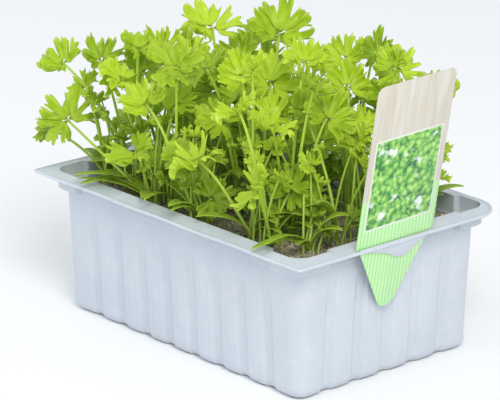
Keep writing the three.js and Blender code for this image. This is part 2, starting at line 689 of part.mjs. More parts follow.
// One more leaf for a plant, where it crosses no other plant; none if every try does.
function freeLeaf(crown, number, rooted, taken, draw) {
  for (let n = 0; n < TRIES; n++) {
    const angle = 360 * draw() * RAD;
    const out = within(FURTHER.out, draw());
    const width = within(FURTHER.width, draw());
    const [x, y] = [crown[0] + out * Math.cos(angle), crown[1] + out * Math.sin(angle)];
    const top = CANOPY.high + CANOPY.slopeX * x + CANOPY.slopeY * y - CANOPY_DOME * out;
    const tip = [x, y, top - (top - CANOPY.low) * draw() ** 1.6];
    const face = [within(FURTHER.compass, draw()), within(FURTHER.tilt, draw())];
    if (x < CANOPY.left || x > CANOPY.right || Math.abs(y) > CANOPY.y) continue;
    const leaf = { ...leafOf(crown, number, rooted, { tip, width, face }), isSlim: true };
    if (isClear(leafSamples(leaf), taken)) return leaf;
  }
  return null;
}

function shownPlants() {
  return SHOWN.map(({ crown, leaves }, n) => ({
    crown,
    leaves: leaves.map((leaf, i) => leafOf(crown, LEAF_NUMBERS * n + i, i === 0, leaf)),
    seedLeaves: SHOWN_SEED_LEAVES.filter((s) => s[0] === n).map((s) => seedLeafOf(crown, s[1], s[2])),
  }));
}

function seedLeafSamples({ path, half }) {
  const level = levelAcross(path);
  const across = (p) => [-half, 0, half].map((d) => p.clone().addScaledVector(level, d));
  return pathSamples(path).flatMap(across);
}

function samplesOf(plant) {
  return [...plant.leaves.flatMap(leafSamples), ...plant.seedLeaves.flatMap(seedLeafSamples)];
}

// Further plants for each root ball, each with one leaf to begin with.
function morePlants(plants, draw) {
  BALLS.forEach((ball, n) => {
    const inBall = (p) => Math.max(Math.abs(p.crown[0] - ball[0]), Math.abs(p.crown[1] - ball[1]));
    const missing = BALL_PLANTS[n] - plants.filter((p) => inBall(p) < BALL_PITCH / 2).length;
    for (let k = 0; k < missing; k++) {
      const crown = freeCrown(ball, plants.map((p) => p.crown), draw);
      const taken = plants.flatMap(samplesOf);
      const leaf = crown && freeLeaf(crown, LEAF_NUMBERS * plants.length, true, taken, draw);
      if (leaf) plants.push({ crown, leaves: [leaf], seedLeaves: [] });
    }
  });
}

// Further leaves for the plants, in turn, until there are as many as the tray shows.
function moreLeaves(plants, draw) {
  for (let round = 0; round < ROUNDS; round++) {
    plants.forEach((plant, n) => {
      const total = plants.reduce((sum, p) => sum + p.leaves.length, 0);
      if (plant.leaves.length > round + 1 || total >= MOST_LEAVES) return;
      const others = plants.filter((p) => p !== plant).flatMap(samplesOf);
      const taken = [...others, ...plant.leaves.flatMap(bladeSamples)];
      const number = LEAF_NUMBERS * n + plant.leaves.length;
      const leaf = freeLeaf(plant.crown, number, false, taken, draw);
      if (leaf) plant.leaves.push(leaf);
    });
  }
}

function allPlants() {
  const draw = dice(SEED);
  const plants = shownPlants();
  morePlants(plants, draw);
  moreLeaves(plants, draw);
  return plants;
}

// ---------------------------------------------------------------- materials and the whole
function finish(colour, roughness) {
  return new THREE.MeshStandardMaterial({ color: colour, roughness, metalness: 0 });
}

const plastic = finish("#cbd4de", 0.4);
const soil = finish("#807a63", 0.95);
const card = finish("#e9efe0", 0.35);
const leafGreen = finish("#9cc22c", 0.5);

function build() {
  const group = new THREE.Group();
  const plants = allPlants();
  const crowns = plants.map((p) => p.crown);
  const draw = dice(SEED + 1);
  group.add(meshFrom(traySolid(), "tray", plastic));
  BALLS.forEach((ball, n) => {
    group.add(meshFrom(rootBall(ball, draw, crowns), `root_ball_${n + 1}`, soil));
  });
  const label = plate(labelOutline(), LABEL_SHEET, labelFrame(0, LABEL_ROLL));
  group.add(meshFrom(label, "label", card));
  plants.forEach((plant, n) => {
    group.add(meshFrom(plantSolid(plant), `parsley_plant_${n + 1}`, leafGreen));
  });
  return group;
}

export default build();
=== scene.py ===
# %% [markdown]
# Potted parsley: a market tray of young curled parsley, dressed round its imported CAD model.
# The CAD model fixes every size and place. This lesson makes the surface that an eye expects:
# a thin formed tray with soft flutes, crumbly soil, a printed label, and thin frilled leaves.
# Sizes are in millimetres until a mesh is made, because a gardener's tray is measured that way.

# %% Load the frame
import json
import math

import bpy
import numpy as np
from mathutils import Matrix, Vector, kdtree, noise

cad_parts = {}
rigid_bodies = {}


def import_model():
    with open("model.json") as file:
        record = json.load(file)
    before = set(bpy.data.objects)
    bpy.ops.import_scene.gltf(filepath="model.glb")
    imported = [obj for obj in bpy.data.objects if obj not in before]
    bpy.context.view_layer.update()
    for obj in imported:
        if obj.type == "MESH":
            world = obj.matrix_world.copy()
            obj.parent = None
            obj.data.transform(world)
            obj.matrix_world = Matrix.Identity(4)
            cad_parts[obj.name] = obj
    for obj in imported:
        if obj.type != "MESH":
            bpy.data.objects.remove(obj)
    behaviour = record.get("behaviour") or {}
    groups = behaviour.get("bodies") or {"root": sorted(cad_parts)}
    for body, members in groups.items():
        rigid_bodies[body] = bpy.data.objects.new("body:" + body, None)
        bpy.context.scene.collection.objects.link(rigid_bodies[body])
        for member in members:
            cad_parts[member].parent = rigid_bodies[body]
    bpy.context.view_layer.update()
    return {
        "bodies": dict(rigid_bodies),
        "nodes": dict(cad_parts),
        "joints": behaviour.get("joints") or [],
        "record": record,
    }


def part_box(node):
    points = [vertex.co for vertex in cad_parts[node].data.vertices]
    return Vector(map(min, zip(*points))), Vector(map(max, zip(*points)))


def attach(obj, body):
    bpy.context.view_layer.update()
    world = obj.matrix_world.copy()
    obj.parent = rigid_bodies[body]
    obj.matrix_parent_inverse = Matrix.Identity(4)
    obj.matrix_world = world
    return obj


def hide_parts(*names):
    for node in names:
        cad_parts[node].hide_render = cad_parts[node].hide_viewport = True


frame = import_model()
MM = 0.001

# %% [markdown]
# The camera stands where the photographer stood: about 1.5 m away and half a metre up, looking
# down through a long lens, so that the tray's edges hardly converge. It could be turned by eye,
# but the tray's straight edges give its place by calculation, so those numbers are used.

# %% Camera
CAMERA_AT = (1.1008, -0.9755, 0.5606)
CAMERA_DOWN, CAMERA_TURN = 18.47, 48.78
SENSOR_WIDTH = 36
FOCAL_PIXELS, FRAME_PIXELS = 3021, 500

camera = bpy.data.objects.new("camera", bpy.data.cameras.new("camera"))
camera.location = CAMERA_AT
camera.rotation_euler = (math.radians(90 - CAMERA_DOWN), 0, math.radians(CAMERA_TURN))
camera.data.sensor_width = SENSOR_WIDTH
camera.data.lens = SENSOR_WIDTH * FOCAL_PIXELS / FRAME_PIXELS
camera.data.clip_start, camera.data.clip_end = 0.05, 50
bpy.context.scene.collection.objects.link(camera)
bpy.context.scene.camera = camera
print("lens in mm:", round(camera.data.lens, 1))

# %% [markdown]
# Colours are written as the hex values that a colour picker shows, and one function turns them
# to the linear numbers that the renderer works with. Another function adds one shader node, so
# that a material reads as a list of what it is made of. Patterns are placed in millimetres, so
# that a pattern's scale is always one over the size of its patches.

# %% Colour and node helpers
FIRST, SECOND = 6, 7  # the sockets that a Mix node has for two colours
OF_COLOURS = {"output": 2, "data_type": "RGBA"}  # what else a Mix of colours is given


def linear(hex_value):
    """An sRGB hex colour as linear red, green, blue and alpha."""
    channels = [int(hex_value[i : i + 2], 16) / 255 for i in (1, 3, 5)]
    return [c / 12.92 if c <= 0.04045 else ((c + 0.055) / 1.055) ** 2.4 for c in channels] + [1]


def fill(tree, node, inputs):
    """Gives a node's inputs their values: each is a socket, a hex colour or a number."""
    for name, value in inputs.items():
        if isinstance(value, bpy.types.NodeSocket):
            tree.links.new(value, node.inputs[name])
        else:
            node.inputs[name].default_value = linear(value) if isinstance(value, str) else value


def add(tree, kind, inputs=None, output=0, stops=None, **settings):
    """Adds a shader node with its settings, inputs and colour stops, and gives one output."""
    node = tree.nodes.new("ShaderNode" + kind)
    for name, value in settings.items():
        setattr(node, name, value)
    fill(tree, node, inputs or {})
    if stops:
        elements = node.color_ramp.elements
        for _ in stops[2:]:
            elements.new(0.5)
        for element, (position, colour) in zip(elements, stops):
            element.position, element.color = position, linear(colour)
    return node.outputs[output]


def substance(name):
    """A new material, its node tree, its Principled shader and the place on the piece in mm."""
    material = bpy.data.materials.new(name)
    material.use_nodes = True
    tree = material.node_tree
    shader = next(n for n in tree.nodes if n.type == "BSDF_PRINCIPLED")
    metres = add(tree, "TexCoord", output="Object")
    place = add(tree, "VectorMath", {0: metres, "Scale": 1 / MM}, operation="SCALE")
    return material, tree, shader, place


# %% [markdown]
# Every mesh here is a list of patches: points in millimetres, faces by number, one material and
# some values kept at the points, such as how near a leaf's edge a point is. Modifiers could
# thicken and join them, but numpy does it at once for a hundred thousand points.

# %% Mesh helpers
def patch(points, faces, material=0, **values):
    """Points in mm, faces as an array of threes or fours, a material slot, and point values."""
    return {"points": np.asarray(points, float).reshape(-1, 3), "faces": np.asarray(faces, int),
            "material": material, "values": values}


def piece(name, patches, materials, flat=False):
    """One mesh object from patches, smooth unless it is flat."""
    mesh = bpy.data.meshes.new(name)
    counts = [len(p["points"]) for p in patches]
    starts = np.cumsum([0] + counts)
    points = np.concatenate([p["points"] for p in patches]) * MM
    corners = np.concatenate([(p["faces"] + s).ravel() for p, s in zip(patches, starts)])
    sizes = np.concatenate([np.full(len(p["faces"]), p["faces"].shape[1]) for p in patches])
    slots = np.concatenate([np.full(len(p["faces"]), p["material"]) for p in patches])
    mesh.vertices.add(len(points))
    mesh.vertices.foreach_set("co", points.ravel())
    mesh.loops.add(len(corners))
    mesh.loops.foreach_set("vertex_index", corners)
    mesh.polygons.add(len(sizes))
    mesh.polygons.foreach_set("loop_start", np.cumsum(sizes) - sizes)
    mesh.polygons.foreach_set("material_index", slots)
    mesh.polygons.foreach_set("use_smooth", np.full(len(sizes), not flat))
    for key in sorted({k for p in patches for k in p["values"]}):
        layer = mesh.attributes.new(key, "FLOAT", "POINT")
        given = [np.broadcast_to(p["values"].get(key, 0.0), n) for p, n in zip(patches, counts)]
        layer.data.foreach_set("value", np.concatenate(given).astype(np.float32))
    mesh.update(calc_edges=True)
    mesh.validate()
    for material in materials:
        mesh.materials.append(material)
    made = bpy.data.objects.new(name, mesh)
    bpy.context.scene.collection.objects.link(made)
    return made


def grid_faces(rows, columns, around=False):
    """Quads between rows of points; around joins the last column to the first."""
    across = np.arange(columns if around else columns - 1)
    beside = (across + 1) % columns
    low = np.arange(rows - 1)[:, None] * columns
    quads = [low + across, low + beside, low + columns + beside, low + columns + across]
    return np.stack(quads, axis=-1).reshape(-1, 4)


def lofted(rings, **values):
    """A closed body through rings of equal count, with its two ends closed by fans of quads."""
    rings = np.asarray(rings, float)
    rows, columns = rings.shape[:2]
    ends = [np.repeat([[ring.mean(0)]], columns, 1) for ring in (rings[0], rings[-1])]
    return patch(np.concatenate([ends[0], rings, ends[1]]),
                 grid_faces(rows + 2, columns, around=True), **values)


def unit(vectors):
    """The same directions, each 1 long."""
    return vectors / np.maximum(np.linalg.norm(vectors, axis=-1, keepdims=True), 1e-9)


# %% [markdown]
# The floor is a plain pale sheet of paper, and the light is a white room with a broad lamp above
# the camera's right and a weak one to its left. A small lamp would draw hard shadows of every
# leaf; the broad one gives the soft ones of a photo studio.

# %% Floor and light
FLOOR_HALF = 5000
TRAY_MIDDLE = Vector((0, 0, 0.08))


def area_light(name, at, size, watts, colour):
    """A square lamp at a point, turned towards the tray."""
    lamp = bpy.data.lights.new(name, "AREA")
    lamp.size, lamp.energy, lamp.color = size, watts, linear(colour)[:3]
    made = bpy.data.objects.new(name, lamp)
    made.location = at
    made.rotation_euler = (TRAY_MIDDLE - made.location).to_track_quat("-Z", "Y").to_euler()
    bpy.context.scene.collection.objects.link(made)


paper, paper_tree, paper_shader, _ = substance("matt_white_paper")
fill(paper_tree, paper_shader, {"Base Color": "#F4F5F6", "Roughness": 0.9})
corners = [(x * FLOOR_HALF, y * FLOOR_HALF, 0) for x, y in ((-1, -1), (1, -1), (1, 1), (-1, 1))]
floor = piece("floor", [patch(corners, [[0, 1, 2, 3]])], [paper], flat=True)

world = bpy.data.worlds.new("white_room")
world.use_nodes = True
fill(world.node_tree, world.node_tree.nodes["Background"], {"Color": "#F7FAFF", "Strength": 0.8})
bpy.context.scene.world = world
area_light("key_lamp", at=(1.3, -0.75, 1.4), size=0.8, watts=22, colour="#FFFBF2")
area_light("side_lamp", at=(-1.2, -0.9, 0.9), size=1, watts=4, colour="#F4F8FF")
bpy.context.scene.view_settings.view_transform = "Standard"

# %% [markdown]
# The tray is one thin sheet of pale blue-grey plastic, drawn down over a mould by vacuum. Its
# walls are fluted for stiffness: broad flat bands with a narrow groove between them. Flat plates
# and booleans would leave hard edges, so the sheet is swept: a line of stations walks once round
# the tray, and each ring puts them at a height, with as much groove, lug and corner as it has
# there. Soft curves across each groove then catch the thin highlights that the real one shows.

# %% Tray dimensions
RIM_Z, SHEET, BASE_SHEET = 77, 0.8, 1.2
WALL_HALF = (93.5, 62)
WALL_TAPER, WALL_RADIUS = 0.037, 11
FOOT_FILLET, FOOT_STEP = 5.5, 0.8
FOOT_RADIUS, BASE_RADIUS = 6, 5  # of the corners, round the foot and under it
FLANGE_HALF, FLANGE_DROOP, SHARP_CORNER, ROUND_CORNER = (103.9, 71), 2, 1.5, 20
LUG_BULGE, LUG_LENGTH, LUG_Z, LUG_RADIUS, LUG_STEP = 2.8, 22, 67, 9.3, 1.5
FLUTE_PITCH, GROOVE_WIDTH, GROOVE_DEPTH = 19.3, 8.8, 1.9
FOOT_GROOVE = 0.85  # share of a groove's depth that is left at the foot
GROOVES = (5, 8)  # in an end wall, and in a long one
# Each side: the way out, the way along, and which of the two half sizes it lies at.
SIDES = [((1, 0), (0, 1), 0), ((0, 1), (-1, 0), 1), ((-1, 0), (0, -1), 0), ((0, -1), (1, 0), 1)]


def smooth(low, high, value):
    """0 below low, 1 above high, and a soft S between them."""
    t = np.clip((np.asarray(value, float) - low) / (high - low), 0, 1)
    return t * t * (3 - 2 * t)


# %% Tray stations
STATION_STEP, CORNER_STEPS, CORNER_CLEAR = 0.66, 16, 0.7
GROOVE_FLOOR = 0.6  # share of a groove's half width that has its full depth
BAND_CURVE = 0.2  # how much of a groove's depth a band loses to its own rounding
BAND_CREST = 2.5  # where that rounding ends, in half widths from the groove's middle


def stations():
    """Once round the tray: side, place along it, corner angle or -1, and shares of groove and lug."""
    rows = []
    for number, (_, _, across) in enumerate(SIDES):
        half = WALL_HALF[1 - across]
        straight = half - WALL_RADIUS - CORNER_CLEAR
        lug_end = half + LUG_BULGE - LUG_LENGTH
        last = GROOVES[across] - 1
        for u in np.linspace(-straight, straight, int(2 * straight / STATION_STEP)):
            nearest = min(max(round(u / FLUTE_PITCH + last / 2), 0), last)
            away = abs(u - (nearest - last / 2) * FLUTE_PITCH) / (GROOVE_WIDTH / 2)
            rise = 1 - BAND_CURVE + BAND_CURVE * smooth(1, BAND_CREST, away)
            lug = smooth(lug_end, lug_end + LUG_STEP, abs(u))
            rows.append((number, u, -1, 1 - smooth(GROOVE_FLOOR, 1, away) * rise, lug))
        rows += [(number, 0, angle, 0, 1) for angle in np.linspace(0, math.pi / 2, CORNER_STEPS + 1)]
    return rows


STATIONS = stations()
print("tray stations:", len(STATIONS))


# %% Tray rings
def tray_ring(half, radius, z, groove=0.0, lug=0.0):
    """One ring of the sheet. half: half sizes; radius: of the corners, as a function of the side."""
    ring = []
    for number, u, angle, groove_share, lug_share in STATIONS:
        out, along, across = SIDES[number]
        shift = lug_share * lug - groove_share * groove
        a, b = half[across] + shift, u
        if angle >= 0:
            r = radius(number)
            a -= r * (1 - math.cos(angle))
            b = half[1 - across] + shift - r * (1 - math.sin(angle))
        ring.append((out[0] * a + along[0] * b, out[1] * a + along[1] * b, z))
    return np.array(ring)


def wall_ring(z, inset, groove=0.0, radius=None):
    """A ring of the wall, which leans in by its taper from the rim down."""
    d = inset + (RIM_Z - z) * WALL_TAPER
    return tray_ring([h - d for h in WALL_HALF], lambda _: radius or WALL_RADIUS - d, z, groove)


def lug_ring(z, inset):
    """A ring between the lugs' step and the rim, which is upright."""
    return tray_ring([h - inset for h in WALL_HALF], lambda _: LUG_RADIUS - inset, z, lug=LUG_BULGE)


def flange_ring(z, inset=0.0):
    """A ring of the flange: two of its corners are sharp and two are round."""
    return tray_ring([h - inset for h in FLANGE_HALF],
                     lambda side: (ROUND_CORNER if side < 2 else SHARP_CORNER) - inset, z)


# %% Tray wall
FILLET_RINGS, WALL_RINGS = 9, 28
GROOVE_FADE = 0.55  # share of the wall's height from which its grooves grow shallower
LUG_SHARES = (0.12, 0.3, 0.5, 0.7, 0.88, 1)


def wall_rings(inset):
    """The wall's rings from the foot up to under the flange, so many mm inside its outer face."""
    rings = []
    for a in np.linspace(0, math.pi / 2, FILLET_RINGS):
        tuck = 1 - math.sin(a)
        z = FOOT_FILLET * (1 - math.cos(a)) + (BASE_SHEET if inset else 0) * tuck
        groove = GROOVE_DEPTH * (FOOT_GROOVE + (1 - FOOT_GROOVE) * math.sin(a))
        rings.append(wall_ring(z, FOOT_STEP + FOOT_FILLET * tuck + inset, groove, FOOT_RADIUS))
    top = LUG_Z - LUG_STEP / 2
    for z in np.linspace(FOOT_FILLET, top, WALL_RINGS)[1:]:
        rise = (z - FOOT_FILLET) / (top - FOOT_FILLET)
        groove = GROOVE_DEPTH * (1 - smooth(GROOVE_FADE, 1, rise))
        rings.append(wall_ring(z, FOOT_STEP * (1 - rise) + inset, groove))
    low, high = wall_ring(top, inset), lug_ring(top + LUG_STEP, inset)
    for t in LUG_SHARES:
        ring = low + (high - low) * smooth(0, 1, t)
        ring[:, 2] = top + LUG_STEP * t
        rings.append(ring)
    return rings


# %% Tray sheet
LIP_TUCK = 0.4  # how far the flange's underside stays in from its edge
# The raised bead along the flange's edge: how far in from it, and how high.
EDGE_BEAD = [(0.05, 0.1), (0.3, 0.55), (0.8, 0.85), (1.3, 0.75), (1.7, 0.45), (2.2, 0.4)]
FLANGE_SHARES = (0.08, 0.2, 0.4, 0.6, 0.8, 0.92)
MOUTH_TURN = 0.1  # how far down the sheet has turned at the mouth's edge
WAVE, WAVE_LENGTH, WAVE_FROM_WALL, WAVE_SLICE = 0.6, 31, 9, 4.2
FLOOR_RISE = 0.5  # the base's middle stands clear of the table
CENTRE_SHARES = (0.9, 0.5, 0.02)


def between(first, last):
    """Rings from one ring to another, closer together near both."""
    return [first + (last - first) * t for t in FLANGE_SHARES]


def flange_rings():
    """From under the rim out along the flange, round its edge, and back over it to the mouth."""
    edge = RIM_Z - FLANGE_DROOP
    under, low = lug_ring(RIM_Z - SHEET, 0), flange_ring(edge - SHEET, LIP_TUCK)
    bead = [flange_ring(edge + up, inset) for inset, up in EDGE_BEAD]
    mouth = between(bead[-1], lug_ring(RIM_Z, SHEET)) + [lug_ring(RIM_Z - MOUTH_TURN, SHEET)]
    return [under, *between(under, low), low, flange_ring(edge - SHEET / 2), *bead, *mouth]


def wavy(rings):
    """The formed sheet never lies quite flat: its flange rises and dips by a few tenths."""
    for ring in rings:
        share = smooth(0, WAVE_FROM_WALL, (np.abs(ring[:, :2]) - WALL_HALF).max(1))
        at = [Vector((x / WAVE_LENGTH, y / WAVE_LENGTH, WAVE_SLICE)) for x, y, _ in ring]
        ring[:, 2] += WAVE * share * np.array([noise.noise(v) for v in at])
    return rings


outer, inner = wall_rings(0)[1:], wall_rings(SHEET)[::-1]
foot = wall_ring(0, FOOT_FILLET + FOOT_STEP, FOOT_GROOVE * GROOVE_DEPTH, BASE_RADIUS)
underside = [foot * (s, s, 1) + (0, 0, FLOOR_RISE * (1 - s) ** 0.5) for s in CENTRE_SHARES[::-1]]
inside_floor = [inner[-1] * (s, s, 1) for s in CENTRE_SHARES]
sheet_rings = [*underside, foot, *outer, *wavy(flange_rings()), *inner, *inside_floor]
print("tray rings:", len(sheet_rings))

# %% [markdown]
# The tray is pale blue-grey polypropylene sheet, with a satin face from the mould. Vacuum
# forming leaves it faintly mottled, with fine scuffs where trays were stacked. A little light
# soaks into the thin sheet, so its edges look soft, not sharp and dark.

# %% Tray plastic
POLYPROPYLENE_IOR = 1.49


def formed_plastic():
    """Vacuum-formed polypropylene, satin."""
    material, tree, shader, place = substance("vacuum_formed_polypropylene")
    cloud = add(tree, "TexNoise", {"Vector": place, "Scale": 1 / 45})
    tint = add(tree, "ValToRGB", {0: cloud}, stops=[(0.3, "#BFC7D2"), (0.7, "#C7CFD9")])
    mottle = add(tree, "TexNoise", {"Vector": place, "Scale": 1 / 6, "Detail": 4})
    scuffed = add(tree, "MapRange", {"Value": mottle, "From Min": 0.5, "From Max": 0.75, "To Max": 0.35})
    worn = add(tree, "Mix", {0: scuffed, FIRST: tint, SECOND: "#D3D9E2"}, **OF_COLOURS)
    sheen = add(tree, "MapRange", {
        "Value": mottle, "From Min": 0.3, "From Max": 0.7, "To Min": 0.36, "To Max": 0.52})
    grain = add(tree, "TexNoise", {"Vector": place, "Scale": 1 / 0.9})
    slow = add(tree, "TexNoise", {"Vector": place, "Scale": 1 / 14, "Detail": 1})
    height = add(tree, "Math", {0: grain, 1: 0.08, 2: slow}, operation="MULTIPLY_ADD")
    relief = add(tree, "Bump", {"Height": height, "Distance": 0.35 * MM, "Strength": 0.6})
    fill(tree, shader, {
        "Base Color": worn, "Roughness": sheen, "Normal": relief, "IOR": POLYPROPYLENE_IOR,
        "Subsurface Weight": 0.12, "Subsurface Scale": 1,
        "Subsurface Radius": (1.6 * MM, 1.8 * MM, 2.2 * MM)})
    return material


plastic = formed_plastic()
print("nodes in the tray's plastic:", len(plastic.node_tree.nodes))

# %% [markdown]
# The label stands in a slit, where a crescent of the right flange is pressed down. Cutting is
# the natural way here, as the real punch cuts the sheet: two thin cutters go through the swept
# tray, and the bent crescent is added as its own small plate in front of the label.

# %% Label frame
LABEL_AT, LABEL_LEAN, LABEL_ROLL = (102.2, -7.2, RIM_Z), math.radians(11.5), math.radians(1.6)
LABEL_SHEET, LABEL_GAP = 0.8, 0.3  # the room in the slit: the sheet, and a gap on each side
SLOT_X, FLAP_SHEET = 102.9, 0.8
CRESCENT = [(-31, 0), (-24, 1.4), (-14, 4), (-6, 7.6), (-1, 8.8), (3, 7.4), (9, 3.6), (16, 0)]


def label_frame(shift=0.0, roll=LABEL_ROLL):
    """From the label's own plane (u along +Y, v up its face, w out of it) to the tray's frame."""
    axes = Matrix(((0, 0, 1, 0), (1, 0, 0, 0), (0, 1, 0, 0), (0, 0, 0, 1)))
    lean = Matrix.Rotation(LABEL_LEAN, 4, "Y")
    spin = Matrix.Rotation(roll, 4, "Z")
    return Matrix.Translation(LABEL_AT) @ lean @ axes @ spin @ Matrix.Translation((0, 0, shift))


def moved(matrix, points):
    """Points through a 4 by 4 matrix."""
    m = np.array(matrix, float)
    return np.asarray(points, float) @ m[:3, :3].T + m[:3, 3]


def curved(points, steps=6):
    """A smooth line through given points."""
    p = np.array(points, float)
    padded = np.vstack([2 * p[0] - p[1], p, 2 * p[-1] - p[-2]])
    line = [p[0]]
    for a, b, c, d in zip(padded, padded[1:], padded[2:], padded[3:]):
        for t in np.arange(1, steps + 1) / steps:
            line.append(0.5 * (2 * b + (c - a) * t + (2 * a - 5 * b + 4 * c - d) * t**2
                               + (3 * b - a - 3 * c + d) * t**3))
    return np.array(line)


def plate(outline, low, high, edge=0.0):
    """Rings of a plate with this outline between two heights; edge rounds its rims."""
    outline = np.asarray(outline, float)
    run = unit(np.roll(outline, -1, 0) - outline) + unit(outline - np.roll(outline, 1, 0))
    inward = unit(np.stack([-run[:, 1], run[:, 0]], 1))
    rim = [(edge, low), (0.3 * edge, low + 0.3 * edge), (0, low + edge)]
    rim += [(inset, low + high - z) for inset, z in rim[::-1]]
    return [np.column_stack([outline + inward * i, np.full(len(outline), z)]) for i, z in rim]


# %% Tray cuts
SLIT_HALF, SLIT_BELOW, SLIT_ABOVE = 24.6, 4.5, 1.5
PUNCH_HEIGHT = 12
PLATE_CREASE = math.radians(50)  # two faces that meet at more than this have a sharp edge


def cutter(name, outline, thickness, matrix):
    """A closed plate to cut with, in the tray's frame."""
    low, *_, high = plate(outline, -thickness / 2, thickness / 2)
    return piece(name, [lofted([moved(matrix, low), moved(matrix, high)])], [])


def cut(target, tools):
    """Cuts the tools out of a mesh and removes them."""
    for tool in tools:
        modifier = target.modifiers.new("cut", "BOOLEAN")
        modifier.operation, modifier.solver, modifier.object = "DIFFERENCE", "EXACT", tool
    done = target.evaluated_get(bpy.context.evaluated_depsgraph_get())
    target.modifiers.clear()
    target.data = bpy.data.meshes.new_from_object(done)
    for tool in tools:
        bpy.data.objects.remove(tool)


tray = piece("fluted_tray", [lofted(sheet_rings)], [plastic])
crescent = curved(CRESCENT)
crescent_outline = [(SLOT_X - depth, y) for y, depth in crescent]
slit = [(-SLIT_HALF, -SLIT_BELOW), (SLIT_HALF, -SLIT_BELOW),
        (SLIT_HALF, SLIT_ABOVE), (-SLIT_HALF, SLIT_ABOVE)]
cut(tray, [
    cutter("crescent_cut", crescent_outline[::-1], PUNCH_HEIGHT, Matrix.Translation((0, 0, RIM_Z))),
    cutter("slit_cut", slit, LABEL_SHEET + 2 * LABEL_GAP, label_frame()),
])
tray.data.set_sharp_from_angle(angle=PLATE_CREASE)
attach(tray, "root")
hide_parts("tray")
print("tray faces:", len(tray.data.polygons))

# %% Bent crescent
FLAP_TOP, FLAP_ROOT, FLAP_EDGE = -0.6, 1.4, 0.25
flap_line = [(y - LABEL_AT[1], FLAP_TOP - FLAP_ROOT - depth) for y, depth in crescent]
flap_outline = [(flap_line[0][0], FLAP_TOP), *flap_line, (flap_line[-1][0], FLAP_TOP)]
flap_matrix = label_frame((LABEL_SHEET + FLAP_SHEET) / 2 + LABEL_GAP, 0)
flap_rings = plate(flap_outline, -FLAP_SHEET / 2, FLAP_SHEET / 2, FLAP_EDGE)
flap = piece("bent_crescent", [lofted([moved(flap_matrix, r) for r in flap_rings])], [plastic])
flap.data.set_sharp_from_angle(angle=PLATE_CREASE)
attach(flap, "root")
print("crescent faces:", len(flap.data.polygons))

# %% [markdown]
# Pressed growing medium is peat and fibre with mineral grains: grey-beige, dull, and rough at
# every size. A bump map alone stays a flat brown lid when seen from low down, so the top of each
# block is displaced, and hundreds of loose crumbs are half sunk in it.

# %% Growing medium
def growing_medium():
    """Pressed peat, fibre and sand grains: no gloss, speckled dark and pale."""
    material, tree, shader, place = substance("pressed_growing_medium")
    patches = add(tree, "TexNoise", {"Vector": place, "Scale": 1 / 9, "Detail": 4})
    body = add(tree, "ValToRGB", {0: patches},
               stops=[(0.3, "#837D66"), (0.5, "#A39D84"), (0.72, "#BCB69F")])
    grains = add(tree, "TexVoronoi", {"Vector": place, "Scale": 1 / 1.3}, "Color")
    speck = add(tree, "ValToRGB", {0: add(tree, "SeparateColor", {0: grains})},
                stops=[(0, "#625C49"), (0.3, "#938C74"), (0.75, "#B5AE95"), (1, "#D4CEB8")])
    ground = add(tree, "Mix", {0: 0.5, FIRST: body, SECOND: speck}, **OF_COLOURS)
    tone = add(tree, "Attribute", output="Fac", attribute_name="tone")
    crumb = add(tree, "ValToRGB", {0: tone},
                stops=[(0, "#9A947C"), (0.25, "#5E5845"), (0.6, "#A8A189"), (1, "#D8D3C0")])
    is_crumb = add(tree, "Math", {0: tone, 1: 0.001}, operation="GREATER_THAN")
    colour = add(tree, "Mix", {0: is_crumb, FIRST: ground, SECOND: crumb}, **OF_COLOURS)
    pits = add(tree, "TexVoronoi", {"Vector": place, "Scale": 1 / 0.9})
    lumps = add(tree, "TexNoise", {"Vector": place, "Scale": 1 / 2.2, "Detail": 3})
    rough = add(tree, "Math", {0: pits, 1: lumps}, operation="ADD")
    relief = add(tree, "Bump", {"Height": rough, "Distance": 0.5 * MM})
    fill(tree, shader, {"Base Color": colour, "Normal": relief, "Roughness": 0.95,
                        "Specular IOR Level": 0.2})
    return material


medium = growing_medium()
print("nodes in the growing medium:", len(medium.node_tree.nodes))

# %% Soil blocks
BALL_PITCH, BALL_HALF_TOP, BALL_HALF_FOOT, BALL_HALF_BASE = 61.4, 29.4, 24.5, 20.8
BALL_RADIUS, BALL_EDGE, SOIL_Z, BALL_GAP = 9.5, 2.6, 67, 0.3
BALLS = [(i * BALL_PITCH, j * BALL_PITCH) for i in (-1, 0, 1) for j in (-0.5, 0.5)]
RING_POINTS, SIDE_RINGS, TOP_RINGS = 120, 14, 34
CRUMBLED = [(0.5, 1.3), (1.6, 0.5)]  # how far in and down the top's edge goes in two rings
TOP_SINK = 0.1
LUMPS = [(0.9, 7, (0, 0, 0)), (0.55, 2.6, (9, 0, 0)), (0.35, 1.1, (0, 9, 0))]  # height, size, shift
SIDE_LUMPS, SIDE_SET_BACK = 0.7, 0.5


def square_ring(half, radius):
    """A square ring with round corners, its points evenly spaced by angle round the corners."""
    angle = np.linspace(0, 2 * math.pi, RING_POINTS, endpoint=False)
    way = np.stack([np.cos(angle), np.sin(angle)], 1)
    square = half * way / np.abs(way).max(1, keepdims=True)
    core = np.minimum(np.abs(square), half - radius)
    beyond = np.abs(square) - core
    pull = np.minimum(1, radius / np.maximum(np.linalg.norm(beyond, axis=1, keepdims=True), 1e-9))
    return np.sign(square) * (core + beyond * pull)


def roughness_at(x, y, z):
    """How far the medium's surface stands out at a point, in mm: lumps, then grains."""
    at = Vector((x, y, z))
    return sum(height * noise.noise(at / size + Vector(shift)) for height, size, shift in LUMPS)


